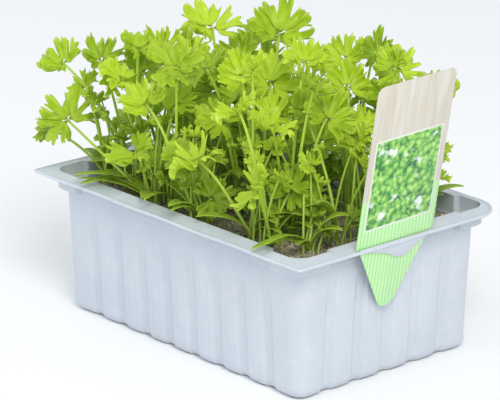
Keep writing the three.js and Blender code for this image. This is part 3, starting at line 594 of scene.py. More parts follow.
def soil_rings(x, y):
    """A block's rings: foot, tapered sides, crumbled edge, and the top in to its middle."""
    foot, shoulder = FOOT_FILLET + BALL_GAP, SOIL_Z - BALL_EDGE
    levels = [(BALL_HALF_BASE, BASE_SHEET + BALL_GAP)]
    levels += zip(np.linspace(BALL_HALF_FOOT, BALL_HALF_TOP, SIDE_RINGS),
                  np.linspace(foot, shoulder, SIDE_RINGS))
    levels += [(BALL_HALF_TOP - inward, SOIL_Z - down) for inward, down in CRUMBLED]
    levels += [(BALL_HALF_TOP * t, SOIL_Z - TOP_SINK) for t in np.linspace(0.92, 0.02, TOP_RINGS)]
    rings = []
    for half, z in levels:
        level = square_ring(half, min(BALL_RADIUS, 0.9 * half))
        ring = np.column_stack([level + (x, y), np.full(len(level), z)])
        out = np.array([roughness_at(*point) for point in ring])
        if z > SOIL_Z - 1:
            ring[:, 2] += out
        elif z > foot:
            ring[:, :2] += level / half * (SIDE_LUMPS * out - SIDE_SET_BACK)[:, None]
        rings.append(ring)
    return rings


# %% Soil crumbs
CRUMBS, SOIL_SEED = 900, 100
CRUMB_LEAST, CRUMB_SPAN, LARGE_RARE = 0.35, 0.75, 2.5  # a higher power gives fewer large ones
CRUMB_DENT, CRUMB_STRETCH, CRUMB_LIFT, CRUMB_MARGIN = 0.3, (0.7, 1.2), 0.2, 1.5
GOLDEN, ICO_REACH = (1 + 5**0.5) / 2, 1.9
SIGNS = [(a, b * GOLDEN) for b in (1, -1) for a in (-1, 1)]
ICO = np.array([(a, b, 0) for a, b in SIGNS] + [(0, a, b) for a, b in SIGNS]
               + [(b, 0, a) for a, b in SIGNS]) / ICO_REACH
ICO_FACES = np.array([(0, 11, 5), (0, 5, 1), (0, 1, 7), (0, 7, 10), (0, 10, 11), (1, 5, 9),
                      (5, 11, 4), (11, 10, 2), (10, 7, 6), (7, 1, 8), (3, 9, 4), (3, 4, 2),
                      (3, 2, 6), (3, 6, 8), (3, 8, 9), (4, 9, 5), (2, 4, 11), (6, 2, 10),
                      (8, 6, 7), (9, 8, 1)])


def crumbs(x, y, draw):
    """Loose crumbs on a block's top, each a dented grain with its own tone."""
    half = BALL_HALF_TOP - CRUMB_MARGIN
    middle = draw.uniform(-half, half, (CRUMBS, 2)) + (x, y)
    size = CRUMB_LEAST + CRUMB_SPAN * draw.random(CRUMBS) ** LARGE_RARE
    top = SOIL_Z - TOP_SINK
    height = [top + roughness_at(px, py, top) for px, py in middle]
    grain = ICO * (1 + CRUMB_DENT * draw.uniform(-1, 1, (CRUMBS, 12, 1)))
    grain = grain * (size[:, None, None] * draw.uniform(*CRUMB_STRETCH, (CRUMBS, 1, 3)))
    points = grain + np.column_stack([middle, np.array(height) + CRUMB_LIFT * size])[:, None]
    faces = ICO_FACES[None] + 12 * np.arange(CRUMBS)[:, None, None]
    tone = np.repeat(0.1 + 0.9 * draw.random(CRUMBS), 12)
    return patch(points, faces.reshape(-1, 3), tone=tone)


for number, (x, y) in enumerate(BALLS, 1):
    draw = np.random.default_rng(SOIL_SEED + number)
    block = piece(f"soil_block_{number}", [lofted(soil_rings(x, y)), crumbs(x, y, draw)], [medium])
    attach(block, "root")
    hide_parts(f"root_ball_{number}")
print("soil blocks:", len(BALLS), "with", CRUMBS, "crumbs each")

# %% [markdown]
# The stick-in label is a thin printed plastic sheet with a pointed foot. Its print is generic:
# a pale panel, a framed field of small green leaf shapes, and light green pinstripes down to the
# point. A picture file isn't needed, because each of these is a pattern worked out from the
# place on the sheet.

# %% Label print
LABEL_HALF_WIDTH, LABEL_TOP = 25.6, 87.4
FRAME_LOW, FRAME_HIGH, FRAME_SIDE, FRAME_LINE = 9, 58, 3.4, 0.9
STRIPE_TOP, STRIPE_PITCH = 26, 2.3
INK_BLUR = 0.25  # half the width of a soft printed edge


def inside(tree, value, low, high):
    """1 where a value lies between two limits, with a narrow soft edge."""
    rise = add(tree, "MapRange", {
        "Value": value, "From Min": low - INK_BLUR, "From Max": low + INK_BLUR})
    fall = add(tree, "MapRange", {
        "Value": value, "From Min": high - INK_BLUR, "From Max": high + INK_BLUR, "To Min": 1, "To Max": 0})
    return add(tree, "Math", {0: rise, 1: fall}, operation="MULTIPLY")


def framed(tree, u, v, line):
    """1 inside the print's frame, at a line's width in from its edge."""
    side = LABEL_HALF_WIDTH - FRAME_SIDE - line
    across = inside(tree, u, -side, side)
    upright = inside(tree, v, FRAME_LOW + line, FRAME_HIGH - line)
    return add(tree, "Math", {0: across, 1: upright}, operation="MULTIPLY")


def leaf_field(tree, place):
    """A field of small leaf shapes in greens, with pale gaps between them."""
    bend = add(tree, "TexNoise", {"Vector": place, "Scale": 1 / 5, "Detail": 3})
    shifted = add(tree, "VectorMath", {0: place, 1: bend}, operation="ADD")
    shape = add(tree, "TexVoronoi", {"Vector": shifted, "Scale": 1 / 3.4})
    leaves = add(tree, "ValToRGB", {0: shape}, stops=[
        (0.05, "#C4E58F"), (0.35, "#8CC95E"), (0.6, "#4E9C45"), (0.85, "#2C7242")])
    flecks = add(tree, "TexVoronoi", {"Vector": place, "Scale": 1 / 1.5}, "Color")
    touch = add(tree, "MapRange", {"Value": add(tree, "SeparateColor", {0: flecks}, 1),
                                   "From Min": 0.55, "From Max": 0.95, "To Max": 0.7})
    lively = add(tree, "Mix", {0: touch, FIRST: leaves, SECOND: "#A9DB6E"}, **OF_COLOURS)
    large = add(tree, "TexNoise", {"Vector": place, "Scale": 1 / 11, "Detail": 3})
    gaps = add(tree, "MapRange", {
        "Value": large, "From Min": 0.36, "From Max": 0.42, "To Min": 0.85, "To Max": 0})
    return add(tree, "Mix", {0: gaps, FIRST: lively, SECOND: "#EDF3F2"}, **OF_COLOURS)


def printed_sheet():
    """Printed polypropylene sheet, gloss varnish over the ink."""
    material, tree, shader, place = substance("printed_polypropylene_sheet")
    u, v = add(tree, "SeparateXYZ", {0: place}, "X"), add(tree, "SeparateXYZ", {0: place}, "Y")
    drawn_out = add(tree, "VectorMath", {0: place, 1: (0.35, 0.03, 1)}, operation="MULTIPLY")
    grain = add(tree, "TexNoise", {"Vector": drawn_out, "Scale": 1})
    panel = add(tree, "ValToRGB", {0: grain},
                stops=[(0.3, "#C4BDAE"), (0.5, "#CCC8BC"), (0.7, "#D3D0C8")])
    turn = add(tree, "Math", {0: u, 1: 2 * math.pi / STRIPE_PITCH}, operation="MULTIPLY")
    wave = add(tree, "Math", {0: turn}, operation="SINE")
    stripe = add(tree, "MapRange", {"Value": wave, "From Min": -0.5, "From Max": 0.5})
    stripes = add(tree, "Mix", {0: stripe, FIRST: "#A5DE95", SECOND: "#C3EDB2"}, **OF_COLOURS)
    lower = add(tree, "Math", {0: v, 1: STRIPE_TOP}, operation="LESS_THAN")
    ground = add(tree, "Mix", {0: lower, FIRST: panel, SECOND: stripes}, **OF_COLOURS)
    border = framed(tree, u, v, 0)
    bordered = add(tree, "Mix", {0: border, FIRST: ground, SECOND: "#DFE2DB"}, **OF_COLOURS)
    field = framed(tree, u, v, FRAME_LINE)
    leaves = leaf_field(tree, place)
    colour = add(tree, "Mix", {0: field, FIRST: bordered, SECOND: leaves}, **OF_COLOURS)
    film = add(tree, "TexNoise", {"Vector": place, "Scale": 1 / 12, "Detail": 3})
    sheen = add(tree, "MapRange", {
        "Value": film, "From Min": 0.3, "From Max": 0.7, "To Min": 0.24, "To Max": 0.36})
    warp = add(tree, "TexNoise", {"Vector": place, "Scale": 1 / 18, "Detail": 1})
    relief = add(tree, "Bump", {"Height": warp, "Distance": 0.25 * MM, "Strength": 0.5})
    fill(tree, shader, {"Base Color": colour, "Roughness": sheen, "Normal": relief,
                        "IOR": POLYPROPYLENE_IOR})
    return material


def label_back():
    """The unprinted back of the same sheet, milk white."""
    material, tree, shader, place = substance("white_polypropylene_back")
    cloud = add(tree, "TexNoise", {"Vector": place, "Scale": 1 / 20})
    tint = add(tree, "ValToRGB", {0: cloud}, stops=[(0.3, "#ECEEE8"), (0.7, "#F5F6F2")])
    fill(tree, shader, {"Base Color": tint, "Roughness": 0.38, "IOR": POLYPROPYLENE_IOR})
    return material


# %% Label sheet
LABEL_TOP_RADIUS, LABEL_SHOULDER, LABEL_STEP = 4, -0.3, 24.2
LABEL_NECK, LABEL_TIP, LABEL_TIP_RADIUS, TIP_TURN = (20.5, -6.5), -38, 6.5, 27
PRINTED_SHEET, PRINTED_EDGE = 0.6, 0.12
LABEL_CREASE = math.radians(35)


def arc(u, v, radius, start, end, steps):
    """Points on an arc, with its angles in degrees."""
    angles = np.radians(np.linspace(start, end, steps + 1))
    return np.stack([u + radius * np.cos(angles), v + radius * np.sin(angles)], 1)


def label_outline():
    """The sheet's outline, counterclockwise from the tip."""
    side, r = LABEL_HALF_WIDTH, LABEL_TOP_RADIUS
    right = [LABEL_NECK, (LABEL_STEP, LABEL_SHOULDER), (side, LABEL_SHOULDER)]
    left = [(-u, v) for u, v in right[::-1]]
    tip = arc(0, LABEL_TIP + LABEL_TIP_RADIUS, LABEL_TIP_RADIUS, TIP_TURN - 180, -TIP_TURN, 14)
    return np.vstack([tip, right,
                      arc(side - r, LABEL_TOP - r, r, 0, 90, 10),
                      arc(r - side, LABEL_TOP - r, r, 90, 180, 10), left])


label_rings = plate(label_outline(), -PRINTED_SHEET / 2, PRINTED_SHEET / 2, PRINTED_EDGE)
label = piece("stick_in_label", [lofted(label_rings)], [printed_sheet(), label_back()])
for face in label.data.polygons:
    face.material_index = 1 if face.normal.z < -0.5 else 0
label.data.set_sharp_from_angle(angle=LABEL_CREASE)
to_metres = label_frame()
to_metres.translation = to_metres.translation * MM
label.matrix_world = to_metres
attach(label, "root")
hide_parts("label")
print("label faces:", len(label.data.polygons))

# %% [markdown]
# The plants stand where the CAD model has them. The places of its leaves come from one list for
# those that the camera sees best and one seeded rule for the rest, and the same list and rule
# are repeated here, so each frilled leaf takes the place of its plain one. The generator below
# multiplies whole numbers only, so both programs draw alike.

# %% Plants that the camera sees
# Each plant: its crown on the soil, and for each leaf the petiole's tip, the blade's width, the
# compass angle and tilt of its face, and sometimes the petiole's two inner control points.
SHOWN = [
    ((-36, -46), [((-87, -60, 104), 36, (-60, 40), ((-51, -50, 80), (-70, -55, 92)))]),
    ((-44, -36), [((-50, -25, 113), 26, (-60, 40))]),
    ((-80, -40), [((-103, -58, 95), 24, (-110, 35))]),
    ((-74, -28), [((-109, -45, 127), 30, (-80, 35)), ((-88, -37, 131), 28, (-20, 45)),
                  ((-100, -38, 115), 22, (-110, 40))]),
    ((-66, -14), [((-84, -20, 117), 20, (-40, 40)), ((-73, -25, 104), 20, (-50, 45))]),
    ((-57, -40), [((-67, -26, 127), 32, (-50, 45))]),
    ((-46, -12), [((-40, -17, 137), 31, (-70, 40))]),
    ((-52, 16), [((-55, 11, 147), 34, (-30, 28))]),
    ((-72, 16), [((-80, -3, 133), 26, (-60, 40))]),
    ((-22, 22), [((-24, 30, 147), 38, (-40, 40))]),
    ((-26, -10), [((-20, 0, 141), 28, (-60, 45))]),
    ((-14, -30), [((-6, -13, 124), 28, (-50, 45))]),
    ((-22, -42), [((-25, -18, 109), 26, (-80, 35)), ((-12, -36, 90), 20, (-40, 35))]),
    ((12, -14), [((14, -10, 136), 31, (-20, 45))]),
    ((24, 6), [((38, 2, 109), 30, (-40, 50))]),
    ((4, 20), [((20, 10, 128), 28, (-60, 40)), ((-2, 8, 109), 24, (-30, 40))]),
    ((38, -20), [((28, -24, 93), 20, (-50, 50))]),
    ((52, -42), [((56, -34, 95), 24, (-45, 65))]),
    ((38, -42), [((14, -49, 84), 28, (-40, 60), ((26, -40, 82), (-14, -44, 66)))]),
    ((70, -34), [((63, -24, 86), 17, (-45, 45))]),
    ((42, 20), [((44, 15, 136), 32, (-30, 45)), ((30, 18, 121), 26, (-70, 40))]),
    ((20, 40), [((24, 32, 143), 28, (-60, 45))]),
    ((44, 42), [((27, 52, 142), 29, (-20, 45))]),
    ((66, 40), [((44, 50, 138), 31, (-10, 45)), ((70, 48, 132), 27, (-50, 40))]),
    ((62, 12), [((52, 18, 118), 24, (-40, 40))]),
]
# Seed leaves of those plants: the plant's number above, the leaf's far end and half width.
SHOWN_SEED_LEAVES = [
    (0, (-20, -66, 80), 2.6), (1, (-36, -22, 96), 2.4), (2, (-94, -30, 88), 3),
    (4, (-80, -4, 96), 3.2), (5, (-66, -56, 80), 2.8), (12, (-6, -56, 76), 2.6),
    (13, (2, -30, 74), 2.2), (18, (22, -66, 81), 3), (17, (64, -52, 76), 3),
    (19, (86, -22, 88), 3.4), (19, (76, -48, 76), 2.6), (16, (40, -4, 86), 2.8),
    (9, (-8, 22, 92), 2.6),
]

# %% Petiole lines and blade frames
SPRING, BLADE_SEAT, HOLE_DEPTH = 1, 1, 7
FIRST_RISE, FURTHER_RISE, ARCH_TOP = (0.12, 0.12, 0.42), (0.3, 0.3, 0.3), (0.6, 0.6, 0.8)
SEED_RISE, SEED_LIFT, SEED_SHOULDER, SEED_DROP = (0.1, 0.1, 0.5), 3, 0.6, 2


def arch(crown, tip, via, rooted):
    """A petiole's middle line, from the crown up and out to its tip, as four control points."""
    foot, tip = np.array([*crown, SOIL_Z + SPRING], float), np.array(tip, float)
    if via:
        return np.array([foot, *via, tip], float)
    low = np.array(FIRST_RISE if rooted else FURTHER_RISE)
    return np.array([foot, foot + low * (tip - foot), foot + np.array(ARCH_TOP) * (tip - foot), tip])


def along(path, share):
    """Points of a petiole's line at shares of it from 0 to 1."""
    t = np.atleast_1d(np.asarray(share, float))[:, None]
    k = 1 - t
    return k**3 * path[0] + 3 * k * k * t * path[1] + 3 * k * t * t * path[2] + t**3 * path[3]


def blade_frame(path, compass, tilt):
    """Columns: across the blade, along its middle leaflet, out of its face, and its origin."""
    turn, lean = math.radians(compass), math.radians(tilt)
    face = np.array([math.sin(lean) * math.cos(turn), math.sin(lean) * math.sin(turn), math.cos(lean)])
    arrive = unit(along(path, 1)[0] - along(path, 0.9999)[0])
    middle = unit(arrive - face * (arrive @ face))
    return np.column_stack([np.cross(middle, face), middle, face, path[3] + BLADE_SEAT * face])


def leaf_of(crown, number, rooted, tip, width, face, via=None):
    """All that is known of one leaf."""
    path = arch(crown, tip, via, rooted)
    return {"number": number, "width": width, "rooted": rooted, "path": path,
            "frame": blade_frame(path, *face)}


def seed_leaf_of(crown, end, half):
    """All that is known of one seed leaf."""
    foot = np.array([*crown, SOIL_Z + SPRING], float)
    span = np.array(end, float) - foot
    low = foot + SEED_RISE * span + (0, 0, SEED_LIFT)
    high = (*(foot + SEED_SHOULDER * span)[:2], end[2] + SEED_DROP)
    return {"path": np.array([foot, low, high, end], float), "half": half}


def in_frame(frame, points):
    """Points of a blade, in its own frame, in the tray's frame."""
    return points @ frame[:, :3].T + frame[:, 3]


# %% Draws of the CAD model's rule
LEAFLET_FAN, LEAFLET_SWING, SIDE_SIZE, CUP = 100, 12, 0.92, 0.3
LEAF_SEED, LEAF_SEED_STEP = 4001, 7919
# Each range is its least value and its span.
LEAFLET_SIZE, LEAFLET_LIFT, POINT_RUFFLE = (0.86, 0.24), (0.4, 1.2), (0.7, 0.6)
# The plain leaflet and its ribs: degrees from its middle line, reach and ruffle.
PLAIN_POINTS = [
    (-52, 0.26, 0.02), (-46, 0.8, 0.16), (-23, 0.93, 0.02), (-17, 0.64, 0.12), (-13, 1, 0.02),
    (12, 0.97, 0.2), (16, 0.62, 0.04), (22, 0.94, 0.18), (46, 0.78, 0),
    (-30, 0.46, 0), (1, 0.5, 0.08), (31, 0.44, 0)]
LEAFLET_FOOT = 0.3  # points nearer to the leaflet's foot keep their reach


def dice(seed):
    """A generator of numbers from 0 to 1, which the CAD model draws with too."""
    state = seed

    def draw():
        nonlocal state
        state = state * 16807 % 2147483647
        return state / 2147483647

    return draw


def ranged(draw, least, span):
    """A drawn value in a range."""
    return least + span * draw()


def leaflet_draws(number):
    """Turn, size and lift of a leaf's three leaflets, with their plain points in half widths."""
    draw = dice(LEAF_SEED + LEAF_SEED_STEP * number)
    leaflets = []
    for k in (-1, 0, 1):
        turn = k * LEAFLET_FAN + LEAFLET_SWING * (draw() - 0.5)
        size = (SIDE_SIZE if k else 1) * ranged(draw, *LEAFLET_SIZE)
        lift = CUP * ranged(draw, *LEAFLET_LIFT)
        points = []
        for angle, reach, ruffle in PLAIN_POINTS:
            a = math.radians(turn + angle)
            r = reach * (1 if reach < LEAFLET_FOOT else size)
            z = lift * r * r + ruffle * ranged(draw, *POINT_RUFFLE)
            points.append((-r * math.sin(a), r * math.cos(a), z))
        leaflets.append({"turn": turn, "size": size, "lift": lift, "points": np.array(points)})
    return leaflets


# %% Room that each plant takes up
SAMPLE_STEP = 3
BLADE_SHARES = (1, 0.75, 0.5)


def path_samples(path):
    """Points along a petiole, about one sample step apart."""
    steps = math.ceil(np.linalg.norm(path[3] - path[0]) / SAMPLE_STEP)
    return along(path, (np.arange(steps) + 1) / steps)


def blade_samples(leaf):
    """Points of a blade, close enough together that two leaves can't cross between them."""
    points = np.concatenate([p["points"] for p in leaflet_draws(leaf["number"])]) * leaf["width"] / 2
    return in_frame(leaf["frame"], np.concatenate([points * s for s in BLADE_SHARES]))


def leaf_samples(leaf):
    """Points of a whole leaf."""
    return np.concatenate([blade_samples(leaf), path_samples(leaf["path"])])


def level_across(path):
    """The level direction across a petiole."""
    span = path[3] - path[0]
    return unit(np.array([-span[1], span[0], 0]))


def seed_leaf_samples(leaf):
    """Points of a seed leaf's middle and both edges."""
    side, line = level_across(leaf["path"]), path_samples(leaf["path"])
    return np.concatenate([line + d * side for d in (-leaf["half"], 0, leaf["half"])])


def room_of(plants, clouds=()):
    """A search tree of points of all that some plants have above the soil, and other clouds."""
    leaves = [leaf_samples(leaf) for p in plants for leaf in p["leaves"]]
    seeds = [seed_leaf_samples(leaf) for p in plants for leaf in p["seed_leaves"]]
    points = np.concatenate([*leaves, *seeds, *clouds])
    tree = kdtree.KDTree(len(points))
    for index, point in enumerate(points):
        tree.insert(point, index)
    tree.balance()
    return tree


# %% Where the plants stand
SEED = 20124
CLEAR, TRIES = 3.6, 90
BALL_PLANTS = [8, 7, 6, 8, 6, 7]
LEAF_NUMBERS, ROUNDS, MOST_LEAVES = 3, 2, 90
CROWN_SPREAD, CROWN_APART = 19, 7.5
CANOPY = {"left": -104, "right": 66, "y": 66, "low": 94, "high": 150, "dome": 0.3,
          "slope_x": 0.14, "slope_y": -0.12}
LEAF_OUT, LEAF_WIDTH, LEAF_TILT, LEAF_COMPASS, LEAF_SWING = (6, 26), (23, 9), (20, 34), -45, 200
LOW_RARE = 1.6  # a higher power gives fewer low leaves


def free_crown(ball, crowns, draw):
    """A place on a block, away from the other plants."""
    for _ in range(TRIES):
        angle = math.radians(360 * draw())
        out = CROWN_SPREAD * math.sqrt(draw())
        spot = (ball[0] + out * math.cos(angle), ball[1] + out * math.sin(angle))
        if all(math.dist(spot, c) > CROWN_APART for c in crowns):
            return spot
    return None


def free_leaf(crown, number, rooted, taken, draw):
    """One more leaf for a plant, where it crosses no other plant; none if every try does."""
    for _ in range(TRIES):
        angle = math.radians(360 * draw())
        out, width = ranged(draw, *LEAF_OUT), ranged(draw, *LEAF_WIDTH)
        x, y = crown[0] + out * math.cos(angle), crown[1] + out * math.sin(angle)
        top = CANOPY["high"] + CANOPY["slope_x"] * x + CANOPY["slope_y"] * y - CANOPY["dome"] * out
        tip = (x, y, top - (top - CANOPY["low"]) * draw() ** LOW_RARE)
        face = (LEAF_COMPASS + LEAF_SWING * (draw() - 0.5), ranged(draw, *LEAF_TILT))
        if not CANOPY["left"] <= x <= CANOPY["right"] or abs(y) > CANOPY["y"]:
            continue
        leaf = leaf_of(crown, number, rooted, tip, width, face)
        if all(taken.find(p)[2] > CLEAR for p in leaf_samples(leaf)):
            return leaf
    return None


def shown_plants():
    """The plants of the list."""
    plants = []
    for n, (crown, leaves) in enumerate(SHOWN):
        made = [leaf_of(crown, LEAF_NUMBERS * n + i, i == 0, *leaf) for i, leaf in enumerate(leaves)]
        seeds = [seed_leaf_of(crown, end, half) for m, end, half in SHOWN_SEED_LEAVES if m == n]
        plants.append({"crown": crown, "leaves": made, "seed_leaves": seeds})
    return plants


def add_plants(plants, draw):
    """Further plants for each root ball, each with one leaf to begin with."""
    for ball, count in zip(BALLS, BALL_PLANTS):
        here = [p for p in plants
                if max(abs(p["crown"][0] - ball[0]), abs(p["crown"][1] - ball[1])) < BALL_PITCH / 2]
        for _ in range(count - len(here)):
            crown = free_crown(ball, [p["crown"] for p in plants], draw)
            leaf = crown and free_leaf(crown, LEAF_NUMBERS * len(plants), True, room_of(plants), draw)
            if leaf:
                plants.append({"crown": crown, "leaves": [leaf], "seed_leaves": []})


def add_leaves(plants, draw):
    """Further leaves for the plants, in turn, until there are as many as the CAD model has."""
    for count in range(ROUNDS):
        for n, plant in enumerate(plants):
            total = sum(len(p["leaves"]) for p in plants)
            if len(plant["leaves"]) > count + 1 or total >= MOST_LEAVES:
                continue
            own = [blade_samples(leaf) for leaf in plant["leaves"]]
            taken = room_of([p for p in plants if p is not plant], own)
            number = LEAF_NUMBERS * n + len(plant["leaves"])
            leaf = free_leaf(plant["crown"], number, False, taken, draw)
            if leaf:
                plant["leaves"].append(leaf)


draw = dice(SEED)
PLANTS = shown_plants()
add_plants(PLANTS, draw)
add_leaves(PLANTS, draw)
print("plants:", len(PLANTS), "leaves:", sum(len(p["leaves"]) for p in PLANTS))

# %% [markdown]
# A leaf of young curled parsley has three leaflets. Each is a fan of three lobes on a narrow
# foot, each lobe ends in rounded teeth, and the whole is folded along its ribs and frilled at
# its edge. A flat cut-out with a bump map shows none of that from the side, so the fan is a fine
# grid: one way runs from the foot to the edge, the other across the lobes, and the height over
# it adds the plain leaf's cup, a trough beside each rib, a twist for each lobe and the frill.

# %% Leaflet edge
LOBE_EDGES = (-56, -19, 18, 54)  # degrees from the leaflet's middle line
LOBE_REACH, LOBE_UNEVEN = (0.97, 1.04, 0.97), (0.9, 1.06)
SIDE_CLEFT, LOBE_CLEFT = 0.26, (0.4, 0.58)
TOOTHED, TOOTH_DEPTH, NOTCH_POWER = 0.84, 0.14, 2.6  # a higher power gives narrower notches
# How finely a leaflet is drawn: teeth on a lobe, columns for each tooth, rows from foot to rim.
FULL = {"teeth": (3, 5), "columns": 6,
        "rows": np.array([0.1, 0.24, 0.38, 0.5, 0.62, 0.73, 0.82, 0.89, 0.95, 1.0])}
YOUNG = {"teeth": (2, 4), "columns": 4, "rows": np.array([0.12, 0.35, 0.58, 0.78, 0.91, 1.0])}


def lobe_rim(s, lobe, turns, cleft_reach):
    """How far the rim reaches across a lobe: round teeth with fine notches, then the clefts."""
    across_tooth = np.where(np.abs(s) < TOOTHED, 2 * np.abs(turns - np.round(turns)), 1)
    rounding, teeth = 1 - 0.2 * s * s - 0.1 * s**4, 1 - TOOTH_DEPTH * across_tooth**NOTCH_POWER
    low_side = SIDE_CLEFT if lobe == 0 else cleft_reach
    high_side = SIDE_CLEFT if lobe == 2 else cleft_reach
    cleft = np.where(s < 0, low_side, high_side)
    rise = smooth(0, 1.25 * (1 - TOOTHED), 1 - np.abs(s)) ** 0.6
    return cleft + (LOBE_REACH[lobe] * rounding * teeth - cleft) * rise


def lobe_columns(lobe, draw, detail):
    """Places across a lobe from -1 to 1, counted in teeth too, and how far the rim reaches."""
    teeth = int(draw.integers(*detail["teeth"]))
    side = np.linspace(TOOTHED, 1, 4)[1:]
    toothed = np.linspace(-TOOTHED, TOOTHED, teeth * detail["columns"] + 1)
    s = np.concatenate([-side[::-1], toothed, side])
    turns = (s / TOOTHED + 1) * teeth / 2 - 0.5
    rim = lobe_rim(s, lobe, turns, draw.uniform(*LOBE_CLEFT))
    rim = rim * (1 if lobe == 1 else draw.uniform(*LOBE_UNEVEN))
    first = 1 if lobe else 0  # two lobes share the column between them
    return s[first:], turns[first:], rim[first:]


# %% Leaflet grid
BLADE_THICKNESS = 0.3
# Limits between which a leaflet's hang, lean and curl, and a lobe's twist and bend, are drawn.
HANG, LEAN, CURL = (-0.26, 0.06), (-0.14, 0.14), (-0.07, 0.09)
TWIST, BEND, PHASE = (-0.5, 0.5), (-0.35, 0.3), (0, 2 * math.pi)
# Heights in half widths: at a lobe's low side, beside its rib, from tooth to tooth, and over it.
LOBE_STEP, TROUGH, FRILL, RIPPLE, RIPPLE_TURN = 0.08, 0.3, 0.075, 0.1, 4.2
BEND_PULL = 0.12  # how much a bent lobe draws back
FOLDED = 0.4  # share of its full angle to which the fan is folded at its foot
# How wide the pale midrib is, and how strongly highlight streaks are painted at each tooth near the rim.
RIB_WIDTH, HIGHLIGHT_STREAK = 0.14, 0.22


def leaflet_grid(turn, size, lift, draw, detail):
    """Points of a leaflet's face in half widths, rib values (pale midrib and painted highlight streaks),
    edge values for the painted rim highlight, and rib columns.
    """
    grids, ribs, edges, middles, count = [], [], [], [], 0
    far = detail["rows"][:, None]
    hang, lean, curl = [draw.uniform(*limits) for limits in (HANG, LEAN, CURL)]
    for lobe, (low, high) in enumerate(zip(LOBE_EDGES, LOBE_EDGES[1:])):
        s, turns, rim = lobe_columns(lobe, draw, detail)
        twist, bend, phase = [draw.uniform(*limits) for limits in (TWIST, BEND, PHASE)]
        r = far * rim
        open_out = FOLDED + (1 - FOLDED) * smooth(0.03, 0.34, r)
        middle = np.radians((low + high) / 2) * open_out
        aside = np.radians((high - low) / 2 * s) * open_out
        away, forward = r * np.sin(aside), r * np.cos(aside)
        free = smooth(0.3, 0.8, r)
        height = (lift * r * r + hang * r + lean * r * np.sin(middle)
                  + LOBE_STEP * (1 - s) * free + away * np.sin(twist) * free
                  + TROUGH * np.abs(away) * smooth(0.15, 0.6, r)
                  + bend * smooth(0.55, 1.1, r) ** 2
                  + FRILL * np.cos(math.pi * turns + phase) * smooth(0.68, 1, far)
                  + RIPPLE * np.sin(RIPPLE_TURN * s + phase) * smooth(0.5, 1, far)
                  + curl * smooth(0.78, 1.05, far))
        away = away * (1 - (1 - np.cos(twist)) * free)
        forward = forward - BEND_PULL * np.abs(bend) * smooth(0.6, 1.1, r)
        way = math.radians(turn) + middle
        x = -(forward * np.sin(way) + away * np.cos(way))
        y = forward * np.cos(way) - away * np.sin(way)
        grids.append(np.stack([x * size, y * size, height], axis=-1))
        # Rib value: the pale midrib near the foot, and painted highlight streaks at the teeth near the rim.
        ribs.append(np.exp(-((s / RIB_WIDTH) ** 2)) * (1 - far**2)
                    + HIGHLIGHT_STREAK * np.cos(math.pi * turns) ** 8 * far**2)
        # Edge value: near the rim and the clefts, where the rim highlight is painted.
        edges.append(np.maximum(far**5, 0.6 * np.abs(s) ** 8))
        middles.append(count + int(np.argmin(np.abs(s))))
        count += len(s)
    return *[np.concatenate(part, axis=1) for part in (grids, ribs, edges)], middles


# %% Thin shells
NO_STALKS_WAY = (0.31, 0.17, 0.94)  # a direction that no stalk or rib takes


def shell(grid, thickness, **values):
    """A closed thin body under a grid of points, with a rim all round."""
    rows, columns = grid.shape[:2]
    normal = unit(np.cross(np.gradient(grid, axis=1), np.gradient(grid, axis=0)))
    if normal[:, :, 2].mean() < 0:
        normal = -normal
    below = grid - normal * thickness
    count = rows * columns
    faces = grid_faces(rows, columns)
    index = np.arange(count).reshape(rows, columns)
    loop = np.concatenate([index[0, :-1], index[:-1, -1], index[-1, :0:-1], index[:0:-1, 0]])
    rim = np.stack([loop, loop + count, np.roll(loop, -1) + count, np.roll(loop, -1)], 1)
    points = np.concatenate([grid.reshape(-1, 3), below.reshape(-1, 3)])
    doubled = {k: np.tile(v.reshape(-1), 2) if np.ndim(v) else v for k, v in values.items()}
    return patch(points, np.concatenate([faces[:, ::-1], faces + count, rim[:, ::-1]]), **doubled)


def tube(line, radii, sides, **values):
    """A round stalk along a line of points, with its ends closed."""
    ahead = unit(np.gradient(line, axis=0))
    side = unit(np.cross(ahead, NO_STALKS_WAY))
    over = np.cross(side, ahead)
    angles = np.linspace(0, 2 * math.pi, sides, endpoint=False)
    rings = [p + r * (np.outer(np.cos(angles), a) + np.outer(np.sin(angles), b))
             for p, r, a, b in zip(line, radii, side, over)]
    return lofted(rings, **values)


# %% One leaf
PETIOLE_FOOT, PETIOLE_NECK, PETIOLE_STEPS = 0.95, 0.62, 22
FOOT_CLEAR, NECK_SINK = 0.5, 0.25  # above the hole's floor, and under the blade's origin
LEAF, STALK = 0, 1
STALK_SIDES, RIB_SIDES = 8, 5
# The ribs' radii at their two ends, and a fixed share of painted light that gives them the stalk's lit
# colour.
RIB_RADII, RIB_LIGHT_SHARE = (0.32, 0.1), 0.8
# Leaves and stalks are painted from shaded near the soil to lit at the top of this height.
CANOPY_DEPTH = 80  # height of the foliage over which leaves and stalks change colour
LOOK_SEED = 7000


def shade_at(height):
    """From 0 on the soil to 1 in the top of the foliage: how lit a height is painted, as the foliage shades
    its lower parts.
    """
    return np.clip((height - SOIL_Z) / CANOPY_DEPTH, 0, 1)


def petiole(leaf, stout=1.0):
    """The stalk from its foot in the soil, or from the crown, to the blade's origin."""
    line = along(leaf["path"], np.linspace(0, 1, PETIOLE_STEPS))
    line = np.vstack([line, leaf["frame"][:, 3] - NECK_SINK * leaf["frame"][:, 2]])
    radii = np.linspace(PETIOLE_FOOT, PETIOLE_NECK, len(line)) * stout
    if leaf["rooted"]:
        foot = line[0] * (1, 1, 0) + (0, 0, SOIL_Z - HOLE_DEPTH + FOOT_CLEAR)
        line, radii = np.vstack([foot, line]), np.concatenate([radii[:1], radii])
    # The stalk's height along it sets its painted shade.
    height = line[[0, *range(len(line)), -1], 2]
    return tube(line, radii, STALK_SIDES, material=STALK, rise=np.repeat(shade_at(height), STALK_SIDES))


